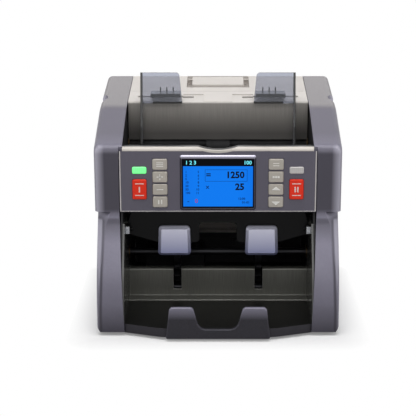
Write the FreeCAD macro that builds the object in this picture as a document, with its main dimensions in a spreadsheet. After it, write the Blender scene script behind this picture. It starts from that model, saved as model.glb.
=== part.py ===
import FreeCAD, Part
import math
import os
import re

import Sketcher

# Banknote counting machine, in millimetres.
# Front faces -Y, +X is to the viewer's right, +Z is up, and the feet stand on z = 0.

# Driving dimensions
sizes = {
    # side view of the covers: y grows to the rear, z upwards
    "cover_bottom": 4,
    "arm_front": -105,
    "knee_height": 50,
    "knee_run": 33,
    "neck_front": -74,
    "neck_drop": 13,
    "neck_radius": 14,
    "shelf_height": 125,
    "console_front": -71,
    "console_tall": 65,
    "rim_tall": 4,
    "brow_radius": 11,
    "crease_y": 7,
    "crease_rise": 29,
    "crease_radius": 60,
    "rear_face": 123,
    "rear_rise": 18,
    "rear_radius": 9,
    "heel_in": 5,
    # widths, measured from the middle plane
    "body_half": 126.5,
    "console_step": 2.5,
    "side_room": 26.5,
    "edge_lap": 0.5,
    "arm_lap": 2.3,
    "arm_flare": 5.6,
    "cover_wall": 2.5,
    "cover_round": 6,
    "facet_neck_in": 9.2,
    "facet_knee_in": 2.8,
    "facet_turn": 0.9,
    "frame_sheet": 2,
    "frame_gap": 1,
    "liner_sheet": 2,
    "fit_gap": 0.3,
    "slot_gap": 1,
    "tool_past": 1,
    "grip_y": 37,
    "grip_radius": 12,
    "grip_depth": 7,
    "grip_drop": 5,
    # base pan and feet
    "pan_bottom": 3,
    "pan_top": 12.5,
    "pan_wall": 2.5,
    "lip_reach": 12,
    "lip_half": 58,
    "lip_back": 2,
    "lip_round": 40,
    "foot_radius": 8,
    "stem_radius": 5.6,
    "foot_x": 96,
    "foot_front_in": 25,
    "foot_rear_in": 23,
    # console
    "panel_lap": 3,
    "panel_sheet": 3,
    "panel_bevel": 0.8,
    "rim_depth": 12,
    "thumb_half": 20.6,
    "thumb_dip": 3.6,
    "thumb_band": 2.4,
    "key_wide": 15.3,
    "key_gap": 1.86,
    "key_corner": 1.7,
    "key_edge": 0.6,
    "key_in": 39.7,
    "key_drop": 13.9,
    "key_sill": 11.02,
    "start_wide": 14.6,
    "start_tall": 21.3,
    "start_in": 18.3,
    "start_drop": 40.6,
    "key_rise": 1.6,
    "key_travel": 1.2,
    "key_flange": 0.6,
    "flange_sheet": 1.5,
    "lamp_tall": 7.4,
    "lamp_wide": 14.8,
    "lamp_drop": 20.3,
    "lamp_rise": 0.8,
    "window_half": 37.5,
    "window_sill": 4.5,
    "window_head": 7.8,
    "bezel_side": 2,
    "bezel_low": 2.1,
    "bezel_high": 3.7,
    "bezel_rise": 1.4,
    "bezel_bevel": 1.2,
    "glass_sheet": 2,
    "board_gap": 8,
    "board_sheet": 1.6,
    "board_inset": 5.2,
    # hopper
    "floor_back": 15,
    "floor_slope": 14,
    "floor_rear": 9,
    "floor_sheet": 2.5,
    "wall_back": 15,
    "wall_drop": 7,
    "back_sheet": 3,
    "strip_deep": 36,
    "guide_in": 30,
    "guide_out": 14,
    "groove_in": 16,
    "groove_out": 39,
    "groove_depth": 0.8,
    "groove_run": 8,
    # note guides, rack and pinion
    "guide_face_in": 17.4,
    "guide_sheet": 2.2,
    "guide_rise": 16.9,
    "guide_lift": 1.5,
    "guide_clear": 0.4,
    "guide_foot": 4,
    "guide_hang": 1,
    "guide_wide_low": 45.6,
    "guide_wide_high": 42.4,
    "guide_deep": 19,
    "post_out_in": 26,
    "post_wide": 16,
    "post_back": 18,
    "post_sheet": 3.4,
    "rib_pitch": 6.9,
    "rib_outer_in": 37.6,
    "rib_drop": 15.7,
    "rack_back": 8,
    "rack_wide": 5,
    "rack_bar": 3.2,
    "rack_tail": 22,
    "gear_rise": 17,
    "gear_module": 1.5,
    "gear_teeth": 10,
    "gear_share": 0.42,
    "gear_tip": 0.86,
    "gear_root": 1.2,
    "gear_flank": 20,
    "pinion_start": -90,
    "pinion_root_share": 1.62,
    "pinion_tip_share": 0.34,
    # shafts and rollers
    "shaft_radius": 4,
    "shaft_gap": 0.05,
    "bush_wall": 2,
    "bush_flange": 1.4,
    "roller_rise": 0.8,
    "pickup_y": -15,
    "pickup_radius": 14,
    "pickup_x": 27,
    "pickup_wide": 12,
    "feed_y": 26,
    "feed_radius": 16,
    "feed_x": 24,
    "feed_wide": 20,
    "retard_radius": 9,
    "retard_back": 8,
    "retard_half": 13,
    "nip_gap": 0.4,
    "motor_y": -16,
    "motor_drop": 65,
    "motor_radius": 18,
    "motor_long": 48,
    "motor_shaft_in": 16,
    "bell_radius": 15.3,
    "bell_long": 6,
    "pulley_gap": 3,
    "belt_wide": 6,
    "belt_sheet": 1.5,
    "flange_rise": 2.6,
    "pulley_rim": 1,
    "motor_pulley": 8,
    "feed_pulley": 12,
    "pickup_pulley": 10,
    # stacker
    "wheel_y": 8,
    "wheel_z": 58,
    "wheel_radius": 33,
    "wheel_hub": 13,
    "wheel_x": 45,
    "wheel_wide": 6,
    "finger_count": 14,
    "finger_root": 16,
    "finger_tip": 3,
    "finger_sweep": 62,
    "finger_curve": 26,
    "finger_back_curve": 23.4,
    "finger_bite": 1,
    "stepper_side": 42,
    "stepper_long": 18,
    "stepper_round": 4,
    "stepper_end": 1,
    "plate_y": -15,
    "plate_sheet": 2.5,
    "plate_tall": 33,
    "plate_foot": 16,
    "plate_step": 1.3,
    "plate_flange": 7.5,
    "plate_slot_gap": 1.5,
    "plate_slot_run": 4,
    "eye_back": 31,
    "eye_z": 38,
    "eye_pitch": 12,
    "eye_radius": 2,
    "hood_back": 20,
    "hood_sheet": 2.5,
    "hood_gap": 1.5,
    "hood_head": 1,
    "hood_drop": 24,
    "hood_tall": 15,
    "hood_notch": 20,
    "notch_rise": 7,
    "wing_x": 64,
    "wing_reach": 9,
    "wing_drop": 7,
    "wing_round": 12,
    "pin_radius": 2.5,
    "pin_boss": 5,
    "pad_in": 30,
    "pad_out": 63,
    "pad_tall": 32,
    "pad_rise": 4,
    "pad_thick": 7.2,
    "pad_flare": 1.2,
    "pad_corner": 4,
    "pad_bevel": 3,
    # front gate
    "gate_deep": 6,
    "gate_half": 54,
    "gate_top": 37,
    "gate_ear_in": 26,
    "gate_ear_out": 50,
    "gate_dip": 13.5,
    "gate_dip_half": 19,
    "gate_wall": 2.2,
    "gate_edge": 0.8,
    # note chute and rear door
    "chute_drop": 23,
    "chute_exit_back": 8,
    "chute_exit_rise": 40,
    "chute_gap": 2.4,
    "chute_sheet": 2.5,
    "sensor_from": 0.3,
    "sensor_to": 0.75,
    "sensor_thick": 11,
    "sensor_inset": 12,
    "door_guide_rise": 11.2,
    "door_low": 52,
    "door_depth": 15,
    "door_sheet": 2.5,
    "door_gap": 0.6,
    "hinge_in": 4,
    "hinge_z": 57,
    "latch_half": 29.5,
    "latch_well_half": 35.5,
    "latch_well_ahead": 12,
    "latch_long": 28,
    "latch_in": 11,
    "latch_sheet": 3,
    "latch_well_deep": 9,
    # rear panel, boards and power
    "panel_rear_top": 48,
    "inlet_x": 62,
    "inlet_z": 30,
    "inlet_half": 13.7,
    "inlet_tall": 20,
    "inlet_flange": 3,
    "blade_half": 1,
    "blade_tall": 2,
    "switch_x": 30,
    "rocker_half": 6,
    "rocker_tall": 18,
    "rocker_deep": 4.5,
    "rocker_dish": 1.35,
    "rocker_tilt": 8,
    "port_x": -40,
    "port_pitch": 34,
    "port_half": 9,
    "port_tall": 12,
    "main_board_front": -45,
    "main_board_rear": 75,
    "main_board_low": 84,
    "main_board_high": 158,
    "stand_off": 6,
    "post_radius": 2.4,
    "supply_front": 52,
    "supply_half": 34,
    "supply_x": -50,
    "supply_tall": 30,
    "vent_half": 1.5,
    "screw_head": 3.4,
    "screw_shank": 1.5,
    "screw_sink": 1.2,
    "screw_front_in": 27,
    "screw_rear_in": 18,
    "screw_low": 36,
    "screw_top_in": 35,
    "screw_top_drop": 33,
    "boss_wall": 2.4,
    "tie_radius": 4,
    "tie_front": -48,
    "tie_front_z": 152,
    "tie_middle": 8,
    "tie_middle_z": 122,
    "tie_low": -4,
    "tie_low_z": 20,
}

# Places that follow from them: the console stands on the shelf, and the top of the machine on the console
places = {
    "neck_height": "(shelf_height - neck_drop)",
    "arm_lean": "atan((neck_front - arm_front) / (neck_height - knee_height))",
    "knee_radius": "(knee_run / tan(arm_lean / 2))",
    "rim_height": "(shelf_height + console_tall)",
    "brow_height": "(rim_height + rim_tall)",
    "crease_height": "(brow_height + crease_rise)",
    "rear_height": "(crease_height + rear_rise)",
    "heel_y": "(rear_face - heel_in)",
    "bay_half": "(body_half - side_room)",
    "cover_edge": "(bay_half - edge_lap)",
    "arm_edge_low": "(bay_half - arm_lap)",
    "arm_edge_high": "(arm_edge_low + arm_flare)",
    "grip_floor": "(crease_height - grip_drop)",
    "lip_front": "(arm_front - lip_reach)",
    "lip_corner": "(arm_front + lip_back)",
    "foot_front": "(arm_front + foot_front_in)",
    "foot_rear": "(heel_y - foot_rear_in)",
    "panel_half": "(bay_half + panel_lap)",
    "rim_half": "(cover_edge - fit_gap)",
    "key_x": "(bay_half - key_in)",
    "start_x": "(bay_half - start_in)",
    "key_pitch": "((console_tall - key_drop - key_sill) / 3)",
    "key_tall": "(key_pitch - key_gap)",
    "key_top": "(rim_height - key_drop)",
    "start_height": "(rim_height - start_drop)",
    "lamp_height": "(rim_height - lamp_drop)",
    "window_low": "(shelf_height + window_sill)",
    "window_high": "(rim_height - window_head)",
    "board_half": "(rim_half - board_inset)",
    "floor_front": "(console_front + floor_back)",
    "wall_y": "(crease_y + wall_back)",
    "wall_low": "(rim_height - wall_drop)",
    "parting_y": "(wall_y + strip_deep)",
    "door_half": "(cover_edge - door_gap)",
    "guide_face": "(bay_half - guide_face_in)",
    "guide_outer": "(guide_face + guide_sheet)",
    "guide_edge_low": "(guide_outer - guide_wide_low)",
    "guide_edge_high": "(guide_outer - guide_wide_high)",
    "post_out": "(bay_half - post_out_in)",
    "post_in": "(post_out - post_wide)",
    "rib_outer": "(bay_half - rib_outer_in)",
    "guide_top": "(rear_height + guide_rise)",
    "guide_front": "(wall_y - guide_deep)",
    "post_y": "(wall_y + post_back)",
    "rack_y": "(wall_y + rack_back)",
    "gear_height": "(rim_height + gear_rise)",
    "motor_z": "(rim_height - motor_drop)",
    "plate_top": "(pan_top + plate_tall)",
    "plate_slot_low": "(wheel_z - wheel_radius - plate_slot_run)",
    "eye_y": "(arm_front + eye_back)",
    "hood_y": "(console_front + hood_back)",
    "hood_axis": "(shelf_height - hood_drop)",
    "hood_top": "(shelf_height - hood_head)",
    "hood_low": "(hood_axis - hood_tall)",
    "hood_notch_top": "(hood_axis + notch_rise)",
    "wing_tip_x": "(bay_half - wing_reach)",
    "wing_tip_z": "(hood_axis - wing_drop)",
    "pad_high": "(hood_axis + pad_rise)",
    "pad_low": "(pad_high - pad_tall)",
    "gate_front": "(lip_front - gate_deep)",
    "chute_y": "(feed_y + feed_radius)",
    "chute_exit_y": "(wheel_y + chute_exit_back)",
    "chute_exit_z": "(wheel_z + chute_exit_rise)",
    "sensor_half": "(bay_half - sensor_inset)",
    "hinge_y": "(heel_y - hinge_in)",
    "latch_rear": "(rear_face - latch_in)",
    "latch_front": "(latch_rear - latch_long)",
    "latch_well_front": "(latch_front - latch_well_ahead)",
    "screw_front": "(arm_front + screw_front_in)",
    "screw_rear": "(heel_y - screw_rear_in)",
    "screw_top": "(rear_face - screw_top_in)",
    "screw_high": "(rear_height - screw_top_drop)",
}

document = FreeCAD.newDocument("banknote_counter")
sheet = document.addObject("Spreadsheet::Sheet", "dims")
for row, (alias, amount) in enumerate(sizes.items(), start=1):
    sheet.set(f"A{row}", alias)
    sheet.set(f"B{row}", str(amount))
    sheet.setAlias(f"B{row}", alias)
document.recompute()

nodes = {}


# Formulas written in the sheet's words

# Turns a formula in plain words into one that points at the sheet.
def bound(formula):
    def point(word):
        name = word.group()
        if name in places:
            return bound(places[name])
        return f"dims.{name}" if name in sizes else name
    return re.sub(r"[a-z][a-z_]*", point, str(formula))


# The number that a formula has now.
def number(formula):
    return float(sheet.evalExpression(bound(formula)))


# Ties one property of an object to a formula.
def tie(piece, prop, formula):
    piece.setExpression(prop, bound(formula))


# Pieces made of sketches

planes = {"x": "YZ_Plane", "y": "XZ_Plane", "z": "XY_Plane"}
flat_axes = {"x": (1, 2), "y": (0, 2), "z": (0, 1)}


def origin_plane(body, role):
    return next(item for item in body.Origin.OriginFeatures if item.Role == role)


# A sketch across the axis, with corners held by their two coordinates.
def corner_sketch(body, axis, corners, offset):
    sketch = body.newObject("Sketcher::SketchObject", body.Name + "_sketch")
    sketch.AttachmentSupport = (origin_plane(body, planes[axis]), [""])
    sketch.MapMode = "FlatFace"
    tie(sketch, "AttachmentOffset.Base.z", offset)
    spots = [FreeCAD.Vector(number(across), number(up), 0) for across, up in corners]
    count = len(spots)
    for index, spot in enumerate(spots):
        sketch.addGeometry(Part.LineSegment(spot, spots[(index + 1) % count]))
    for index in range(count):
        sketch.addConstraint(Sketcher.Constraint("Coincident", index, 2, (index + 1) % count, 1))
    for index, (across, up) in enumerate(corners):
        for kind, formula in (("DistanceX", across), ("DistanceY", up)):
            place = sketch.addConstraint(Sketcher.Constraint(kind, -1, 1, index, 1, number(formula)))
            tie(sketch, f"Constraints[{place}]", formula)
    return sketch


# Names of the straight edges that run along the axis through the given corners.
def edges_along(shape, axis, spots):
    across, up = flat_axes[axis]
    along = 3 - across - up
    names = []
    for index, edge in enumerate(shape.Edges, start=1):
        if not isinstance(edge.Curve, Part.Line) or abs(edge.Curve.Direction[along]) < 0.999:
            continue
        middle = edge.CenterOfMass
        if any(math.hypot(middle[across] - a, middle[up] - b) < 0.01 for a, b in spots):
            names.append(f"Edge{index}")
    return names


# Rounds the named edges of a body.
def soften(body, names, radius):
    fillet = body.newObject("PartDesign::Fillet", body.Name + "_round")
    fillet.Base = (body.Tip if body.Tip != fillet else fillet.BaseFeature, names)
    fillet.Radius = number(radius)
    tie(fillet, "Radius", radius)
    document.recompute()
    return fillet


# Bevels the named edges of a body.
def bevel(body, names, size):
    chamfer = body.newObject("PartDesign::Chamfer", body.Name + "_bevel")
    chamfer.Base = (body.Tip if body.Tip != chamfer else chamfer.BaseFeature, names)
    chamfer.Size = number(size)
    tie(chamfer, "Size", size)
    document.recompute()
    return chamfer


# Names of the edges that lie in the plane across the axis at a level.
def edges_in_plane(shape, axis, level):
    names = []
    for index, edge in enumerate(shape.Edges, start=1):
        box = edge.BoundBox
        low, high = (box.XMin, box.XMax) if axis == "x" else (box.YMin, box.YMax)
        if abs(low - level) < 0.01 and abs(high - level) < 0.01:
            names.append(f"Edge{index}")
    return names


# A straight piece whose outline, across the axis, runs from low to high along it.
# rounds gives a radius for the corners with these numbers.
def prism(label, axis, corners, low, high, rounds=None):
    body = document.addObject("PartDesign::Body", label)
    offset = f"-({high})" if axis == "y" else low
    sketch = corner_sketch(body, axis, corners, offset)
    pad = body.newObject("PartDesign::Pad", body.Name + "_pad")
    pad.Profile = sketch
    tie(pad, "Length", f"({high}) - ({low})")
    document.recompute()
    for corner, radius in (rounds or {}).items():
        members = corner if isinstance(corner, tuple) else (corner,)
        spots = [(number(corners[index][0]), number(corners[index][1])) for index in members]
        soften(body, edges_along(body.Shape, axis, spots), radius)
    return body


# Four corners of an upright rectangle around a centre.
def rectangle(centre_across, centre_up, half_wide, half_tall):
    return [
        (f"{centre_across} - ({half_wide})", f"{centre_up} - ({half_tall})"),
        (f"{centre_across} + {half_wide}", f"{centre_up} - ({half_tall})"),
        (f"{centre_across} + {half_wide}", f"{centre_up} + {half_tall}"),
        (f"{centre_across} - ({half_wide})", f"{centre_up} + {half_tall}"),
    ]


# A plate between two points of the side view, with its thickness to the left of that line.
def slab_corners(start, finish, thickness, lift="0"):
    run = f"({finish[0]} - ({start[0]}))"
    rise = f"({finish[1]} - ({start[1]}))"
    length = f"sqrt({run}^2 + {rise}^2)"
    side = (f"(-{rise} / {length})", f"({run} / {length})")
    near = [(f"{y} + ({lift}) * {side[0]}", f"{z} + ({lift}) * {side[1]}") for y, z in (start, finish)]
    far = [(f"{y} + ({thickness}) * {side[0]}", f"{z} + ({thickness}) * {side[1]}") for y, z in near]
    return [near[0], near[1], far[1], far[0]]


# A turned piece about a line along X, from (x, radius) corners; centre is its (y, z).
def turned(label, corners, centre):
    body = document.addObject("PartDesign::Body", label)
    sketch = corner_sketch(body, "z", corners, "0")
    turn = body.newObject("PartDesign::Revolution", body.Name + "_turn")
    turn.Profile = sketch
    turn.ReferenceAxis = (sketch, ["H_Axis"])
    turn.Angle = 360
    tie(body, "Placement.Base.y", centre[0])
    tie(body, "Placement.Base.z", centre[1])
    document.recompute()
    return body


# Pieces made of primitives

# A box from three pairs of formulas.
def block(label, x, y, z):
    box = document.addObject("Part::Box", label)
    for prop, letter, (low, high) in (("Length", "x", x), ("Width", "y", y), ("Height", "z", z)):
        tie(box, prop, f"({high}) - ({low})")
        tie(box, f"Placement.Base.{letter}", low)
    return box


turns = {
    "x": FreeCAD.Rotation(FreeCAD.Vector(0, 1, 0), 90),
    "y": FreeCAD.Rotation(FreeCAD.Vector(1, 0, 0), -90),
    "z": FreeCAD.Rotation(),
}


# A round bar along an axis; centre holds its two other coordinates.
def rod(label, axis, centre, radius, low, high):
    bar = document.addObject("Part::Cylinder", label)
    bar.Placement = FreeCAD.Placement(FreeCAD.Vector(), turns[axis])
    tie(bar, "Radius", radius)
    tie(bar, "Height", f"({high}) - ({low})")
    letters = [letter for letter in "xyz" if letter != axis]
    for letter, formula in zip(letters, centre):
        tie(bar, f"Placement.Base.{letter}", formula)
    tie(bar, f"Placement.Base.{axis}", low)
    return bar


# Several solids held as one object.
def group(label, pieces):
    bundle = document.addObject("Part::Compound", label)
    bundle.Links = pieces
    return bundle


def cut(label, base, tools):
    result = document.addObject("Part::Cut", label)
    result.Base = base
    result.Tool = tools[0] if len(tools) == 1 else group(label + "_tools", tools)
    return result


def fuse(label, pieces):
    result = document.addObject("Part::MultiFuse", label)
    result.Shapes = pieces
    result.Refine = True
    return result


# What several pieces have in common.
def common(label, pieces):
    result = document.addObject("Part::MultiCommon", label)
    result.Shapes = pieces
    return result


# The same piece on the other side of the middle plane.
def mirror(label, source):
    twin = document.addObject("Part::Mirroring", label)
    twin.Source = source
    twin.Normal = FreeCAD.Vector(1, 0, 0)
    return twin


# Marks a finished sub-part as a node of the model.
def node(label, piece):
    piece.Label = label
    nodes[label] = piece
    return piece


# Shared places

console_half = "(body_half + console_step)"
frame_out = "(bay_half + frame_sheet)"
pocket_half = "(bay_half - liner_sheet)"
panel_back = "(console_front + panel_sheet)"
floor_fall = "tan(floor_slope)"


# Height of the hopper floor's upper face at a depth y.
def floor_at(y):
    return f"(rim_height - ({y} - floor_front) * {floor_fall})"


pickup_z = f"({floor_at('pickup_y')} - (pickup_radius - roller_rise) / cos(floor_slope))"
feed_z = f"({floor_at('feed_y')} - feed_radius / cos(floor_slope))"
nip_reach = "(feed_radius + retard_radius + nip_gap)"
retard_y = "(feed_y + retard_back)"
retard_z = f"({feed_z} + sqrt({nip_reach}^2 - retard_back^2))"
pickup_axle = ("pickup_y", pickup_z)
feed_axle = ("feed_y", feed_z)
retard_axle = (retard_y, retard_z)
places["chute_high"] = f"({feed_z} - chute_drop)"
stacker_axle = ("wheel_y", "wheel_z")
motor_axle = ("motor_y", "motor_z")
hood_axle = ("(hood_y + hood_sheet / 2)", "hood_axis")
door_axle = ("hinge_y", "hinge_z")
tie_spots = [("tie_front", "tie_front_z"), ("tie_middle", "tie_middle_z"), ("tie_low", "tie_low_z")]
# each screw: its place in the side view, and the outer face that its head sits in
screw_spots = [
    (("screw_front", "screw_low"), "body_half"),
    (("screw_rear", "screw_low"), "body_half"),
    (("screw_top", "screw_high"), console_half),
]


# Height of the covers' top face at a depth y behind the crease.
def top_at(y):
    return f"(crease_height + ({y} - crease_y) * (rear_height - crease_height) / (rear_face - crease_y))"


# Side outline of the whole machine, drawn in by inset everywhere but at the bottom.
def silhouette(inset, bottom):
    return [
        (f"arm_front + {inset}", bottom),
        (f"arm_front + {inset}", "knee_height"),
        (f"neck_front + {inset}", "neck_height"),
        (f"console_front + {inset}", "shelf_height"),
        (f"console_front + {inset}", f"brow_height - {inset}"),
        ("crease_y", f"crease_height - {inset}"),
        (f"rear_face - {inset}", f"rear_height - {inset}"),
        (f"heel_y - {inset}", bottom),
    ]


def silhouette_rounds(inset):
    return {
        1: f"knee_radius - {inset}",
        (2, 3): f"neck_radius + {inset}",
        4: f"brow_radius - {inset}",
        5: f"crease_radius - {inset}",
        6: f"rear_radius - {inset}",
    }


# Side covers

# The console half of a cover's outline, above the shelf, drawn in by inset.
def console_outline(inset, bottom):
    return [
        (f"console_front + {inset}", bottom),
        (f"console_front + {inset}", f"brow_height - {inset}"),
        ("crease_y", f"crease_height - {inset}"),
        (f"rear_face - {inset}", f"rear_height - {inset}"),
        (f"rear_face - {inset}", bottom),
    ]


# Names of the edges round the outer face of a cover half, at a given x, but for its bottom edge.
def outer_edges(shape, x, bottom):
    names = edges_in_plane(shape, "x", x)
    return [name for name in names if shape.getElement(name).BoundBox.ZMax > bottom + number("fit_gap")]


# Wedge that slices the outer front corner of an arm: a facet that widens from the knee to the neck.
# inward moves it into the cover.
def facet_wedge(label, inward):
    body = document.addObject("PartDesign::Body", label)
    run = f"({console_half} - arm_edge_high)"
    x, y = f"(body_half - facet_knee_in - {inward})", f"(arm_front + {inward})"
    sketch = corner_sketch(body, "z", [
        (f"{x} - {run}", f"{y} - {run} * facet_turn"),
        (f"{x} + {run}", f"{y} - {run} * facet_turn"),
        (f"{x} + {run}", f"{y} + {run} * facet_turn"),
    ], "knee_height")
    pad = body.newObject("PartDesign::Pad", label + "_pad")
    pad.Profile = sketch
    pad.UseCustomVector = True
    lean = ("facet_knee_in - facet_neck_in", "neck_front - arm_front", "neck_height - knee_height")
    for letter, formula in zip("xyz", lean):
        tie(pad, f"Direction.{letter}", formula)
    pad.AlongSketchNormal = True
    tie(pad, "Length", "shelf_height - knee_height")
    document.recompute()
    return body


def make_side_cover():
    lower = prism("cover_lower", "x", silhouette("0", "cover_bottom"), "arm_edge_low", "body_half",
                  silhouette_rounds("0"))
    soften(lower, outer_edges(lower.Shape, number("body_half"), 0), "cover_round")
    upper = prism("cover_upper", "x", console_outline("0", "shelf_height"), "cover_edge", console_half,
                  {1: "brow_radius", 2: "crease_radius", 3: "rear_radius"})
    upper_edges = outer_edges(upper.Shape, number(console_half), number("shelf_height"))
    soften(upper, upper_edges, "cover_round")
    hollow = prism("cover_hollow", "x", silhouette("cover_wall", "cover_bottom - tool_past"),
                   "arm_edge_low - tool_past", "body_half - cover_wall", silhouette_rounds("cover_wall"))
    upper_hollow = prism(
        "cover_upper_hollow", "x", console_outline("cover_wall", "shelf_height + cover_wall"),
        "cover_edge - tool_past", f"{console_half} - cover_wall",
        {1: "brow_radius - cover_wall", 2: "crease_radius", 3: "rear_radius - cover_wall"})
    taper = prism("arm_taper", "y", [
        ("arm_edge_low - tool_past", "cover_bottom"),
        ("arm_edge_low", "cover_bottom"),
        ("arm_edge_high", "shelf_height"),
        ("arm_edge_low - tool_past", "shelf_height"),
    ], "arm_front - tool_past", "console_front + cover_round")
    trim_wide = ("arm_edge_low - tool_past", "cover_edge")
    top_trim = block("cover_top_trim", trim_wide, ("console_front - tool_past", "crease_y"),
                     ("shelf_height", "rear_height + tool_past"))
    rear_trim = block("cover_rear_trim", trim_wide, ("crease_y", "rear_face + tool_past"),
                      ("cover_bottom - tool_past", "rear_height + tool_past"))
    panel_seat = block("panel_seat", ("0", "panel_half + fit_gap"), ("console_front - tool_past", panel_back),
                       ("shelf_height - tool_past", "brow_height + tool_past"))
    arm = cut("cover_arm", lower, [facet_wedge("arm_facet", "0")])
    arm_hollow = cut("arm_hollow", hollow, [facet_wedge("arm_facet_inside", "cover_wall")])
    solid = fuse("cover_solid", [arm, upper])
    shell = cut("cover_shell", solid, [arm_hollow, upper_hollow, taper, top_trim, rear_trim, panel_seat])
    grip_spot = (f"{console_half} + grip_radius - grip_depth", "grip_y")
    grip = rod("grip_scoop", "z", grip_spot, "grip_radius", "grip_floor", "rear_height")
    backing = rod("grip_backing", "z", grip_spot, "grip_radius + cover_wall", "grip_floor - cover_wall",
                  "rear_height")
    liner = common("grip_liner", [solid, backing])
    bosses = []
    sinks = []
    for index, (spot, skin) in enumerate(screw_spots):
        bosses.append(rod(f"screw_boss_{index}", "x", spot, "screw_shank + fit_gap + boss_wall", frame_out,
                          f"{skin} - cover_wall / 2"))
        sinks.append(rod(f"screw_bore_{index}", "x", spot, "screw_shank + fit_gap", frame_out,
                         f"{skin} + tool_past"))
        sinks.append(rod(f"screw_sink_{index}", "x", spot, "screw_head + fit_gap", f"{skin} - screw_sink",
                         f"{skin} + tool_past"))
    return cut("right_cover", fuse("cover_with_bosses", [shell, liner] + bosses), [grip] + sinks)


right_cover = node("right_side_cover", make_side_cover())
node("left_side_cover", mirror("left_cover", right_cover))


# Screws that hold the covers to the frames: a low head and a plain shank.
def make_screws():
    right = []
    for index, (spot, skin) in enumerate(screw_spots):
        right.append(turned(f"cover_screw_{index}", [
            ("bay_half", "0"),
            (skin, "0"),
            (skin, "screw_head"),
            (f"{skin} - screw_sink", "screw_head"),
            (f"{skin} - screw_sink", "screw_shank"),
            ("bay_half", "screw_shank"),
        ], spot))
    left = [mirror(f"left_{screw.Name}", screw) for screw in right]
    return group("screws", right + left)


node("cover_screws", make_screws())


# Frames: one steel plate each side, bored for everything that crosses the bay
def make_frame():
    inset = "(cover_wall + frame_gap)"
    plate = prism("frame_plate", "x", silhouette(inset, "pan_top"), "bay_half", frame_out,
                  silhouette_rounds(inset))
    bores = []
    reach = ("bay_half - tool_past", f"{frame_out} + tool_past")
    bush_bore = "shaft_radius + bush_wall"
    for name, spot, radius in (
        ("pickup", pickup_axle, bush_bore),
        ("feed", feed_axle, bush_bore),
        ("retard", retard_axle, bush_bore),
        ("stacker", stacker_axle, bush_bore),
        ("motor", motor_axle, "shaft_radius + fit_gap"),
        ("hood", hood_axle, "pin_radius + shaft_gap"),
        ("door", door_axle, "pin_radius + shaft_gap"),
    ):
        bores.append(rod(f"{name}_bore", "x", spot, radius, *reach))
    for index, (spot, skin) in enumerate(screw_spots):
        bores.append(rod(f"frame_thread_{index}", "x", spot, "screw_shank", *reach))
    return cut("frame_bored", plate, bores)


right_frame = node("right_frame", make_frame())
node("left_frame", mirror("left_frame_twin", right_frame))

ties = [rod(f"tie_bar_{index}", "x", spot, "tie_radius", "-bay_half", "bay_half")
        for index, spot in enumerate(tie_spots)]
node("tie_bars", group("ties", ties))


# Base pan: a shallow tray turned upside down, with a bowed lip ahead of the arms
def pan_outline(inset):
    side = f"body_half - cover_wall - fit_gap - {inset}"
    lip_side = f"arm_edge_low - fit_gap - {inset}"
    front = f"arm_front + cover_wall + fit_gap + {inset}"
    right = [
        ("lip_half", f"lip_front + {inset}"),
        (lip_side, f"lip_corner + {inset}"),
        (lip_side, front),
        (side, front),
        (side, f"heel_y - cover_wall - frame_gap - {inset}"),
    ]
    left = [(f"-({x})", y) for x, y in reversed(right)]
    return right + left


def make_base_pan():
    shell = prism("pan_solid", "z", pan_outline("0"), "pan_bottom", "pan_top", {(0, 9): "lip_round"})
    hollow = prism("pan_hollow", "z", pan_outline("pan_wall"), "pan_bottom - tool_past", "pan_top - pan_wall",
                   {(0, 9): "lip_round - pan_wall"})
    return cut("pan", shell, [hollow])


node("base_pan", make_base_pan())


# Each foot is a rubber disc with a narrower stem that plugs against the pan.
def make_foot(name, x, y):
    foot = turned(name, [
        ("0", "0"),
        ("pan_top - pan_wall", "0"),
        ("pan_top - pan_wall", "stem_radius"),
        ("pan_bottom", "stem_radius"),
        ("pan_bottom", "foot_radius"),
        ("0", "foot_radius"),
    ], (y, "0"))
    foot.Placement = FreeCAD.Placement(FreeCAD.Vector(), FreeCAD.Rotation(FreeCAD.Vector(0, 1, 0), -90))
    tie(foot, "Placement.Base.x", x)
    return foot


feet = [make_foot(f"foot_{across}_{along}", f"{across} * foot_x", along)
        for across in (-1, 1) for along in ("foot_front", "foot_rear")]
node("rubber_feet", group("feet", feet))


# Console: panel, rim, display, lamps and board

# A key, lamp or hole: a rounded upright rectangle that runs from low to high along Y.
def tile(label, centre, half_wide, half_tall, corner, low, high):
    return prism(label, "y", rectangle(centre[0], centre[1], half_wide, half_tall), low, high,
                 {(0, 1, 2, 3): corner})


key_spots = {}
start_spots = {}
lamp_spots = {}
for side, sign in (("left", -1), ("right", 1)):
    for place in range(4):
        key_spots[f"key_{side}_{place + 1}"] = (f"{sign} * key_x", f"key_top - {place} * key_pitch")
    start_spots[f"start_key_{side}"] = (f"{sign} * start_x", "start_height")
    lamp_spots[f"{side}_status_lamp"] = (f"{sign} * start_x", "lamp_height")

bezel_middle = ("0", "(window_low + window_high + bezel_high - bezel_low) / 2")
bezel_half_wide = "(window_half + bezel_side)"
bezel_half_tall = "((window_high - window_low + bezel_high + bezel_low) / 2)"
window_middle = ("0", "(window_low + window_high) / 2")
window_half_tall = "((window_high - window_low) / 2)"
board_front = f"({panel_back} + board_gap)"
board_top = "(rim_height - floor_sheet - board_sheet)"
thumb_radius = "((thumb_half^2 + thumb_dip^2) / (2 * thumb_dip))"
thumb_centre = ("0", f"(brow_height - thumb_dip + {thumb_radius})")


# The band under the thumb dip, as a round bar along Y.
def thumb_lobe(label, low, high):
    return rod(label, "y", thumb_centre, f"{thumb_radius} + thumb_band", low, high)


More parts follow.
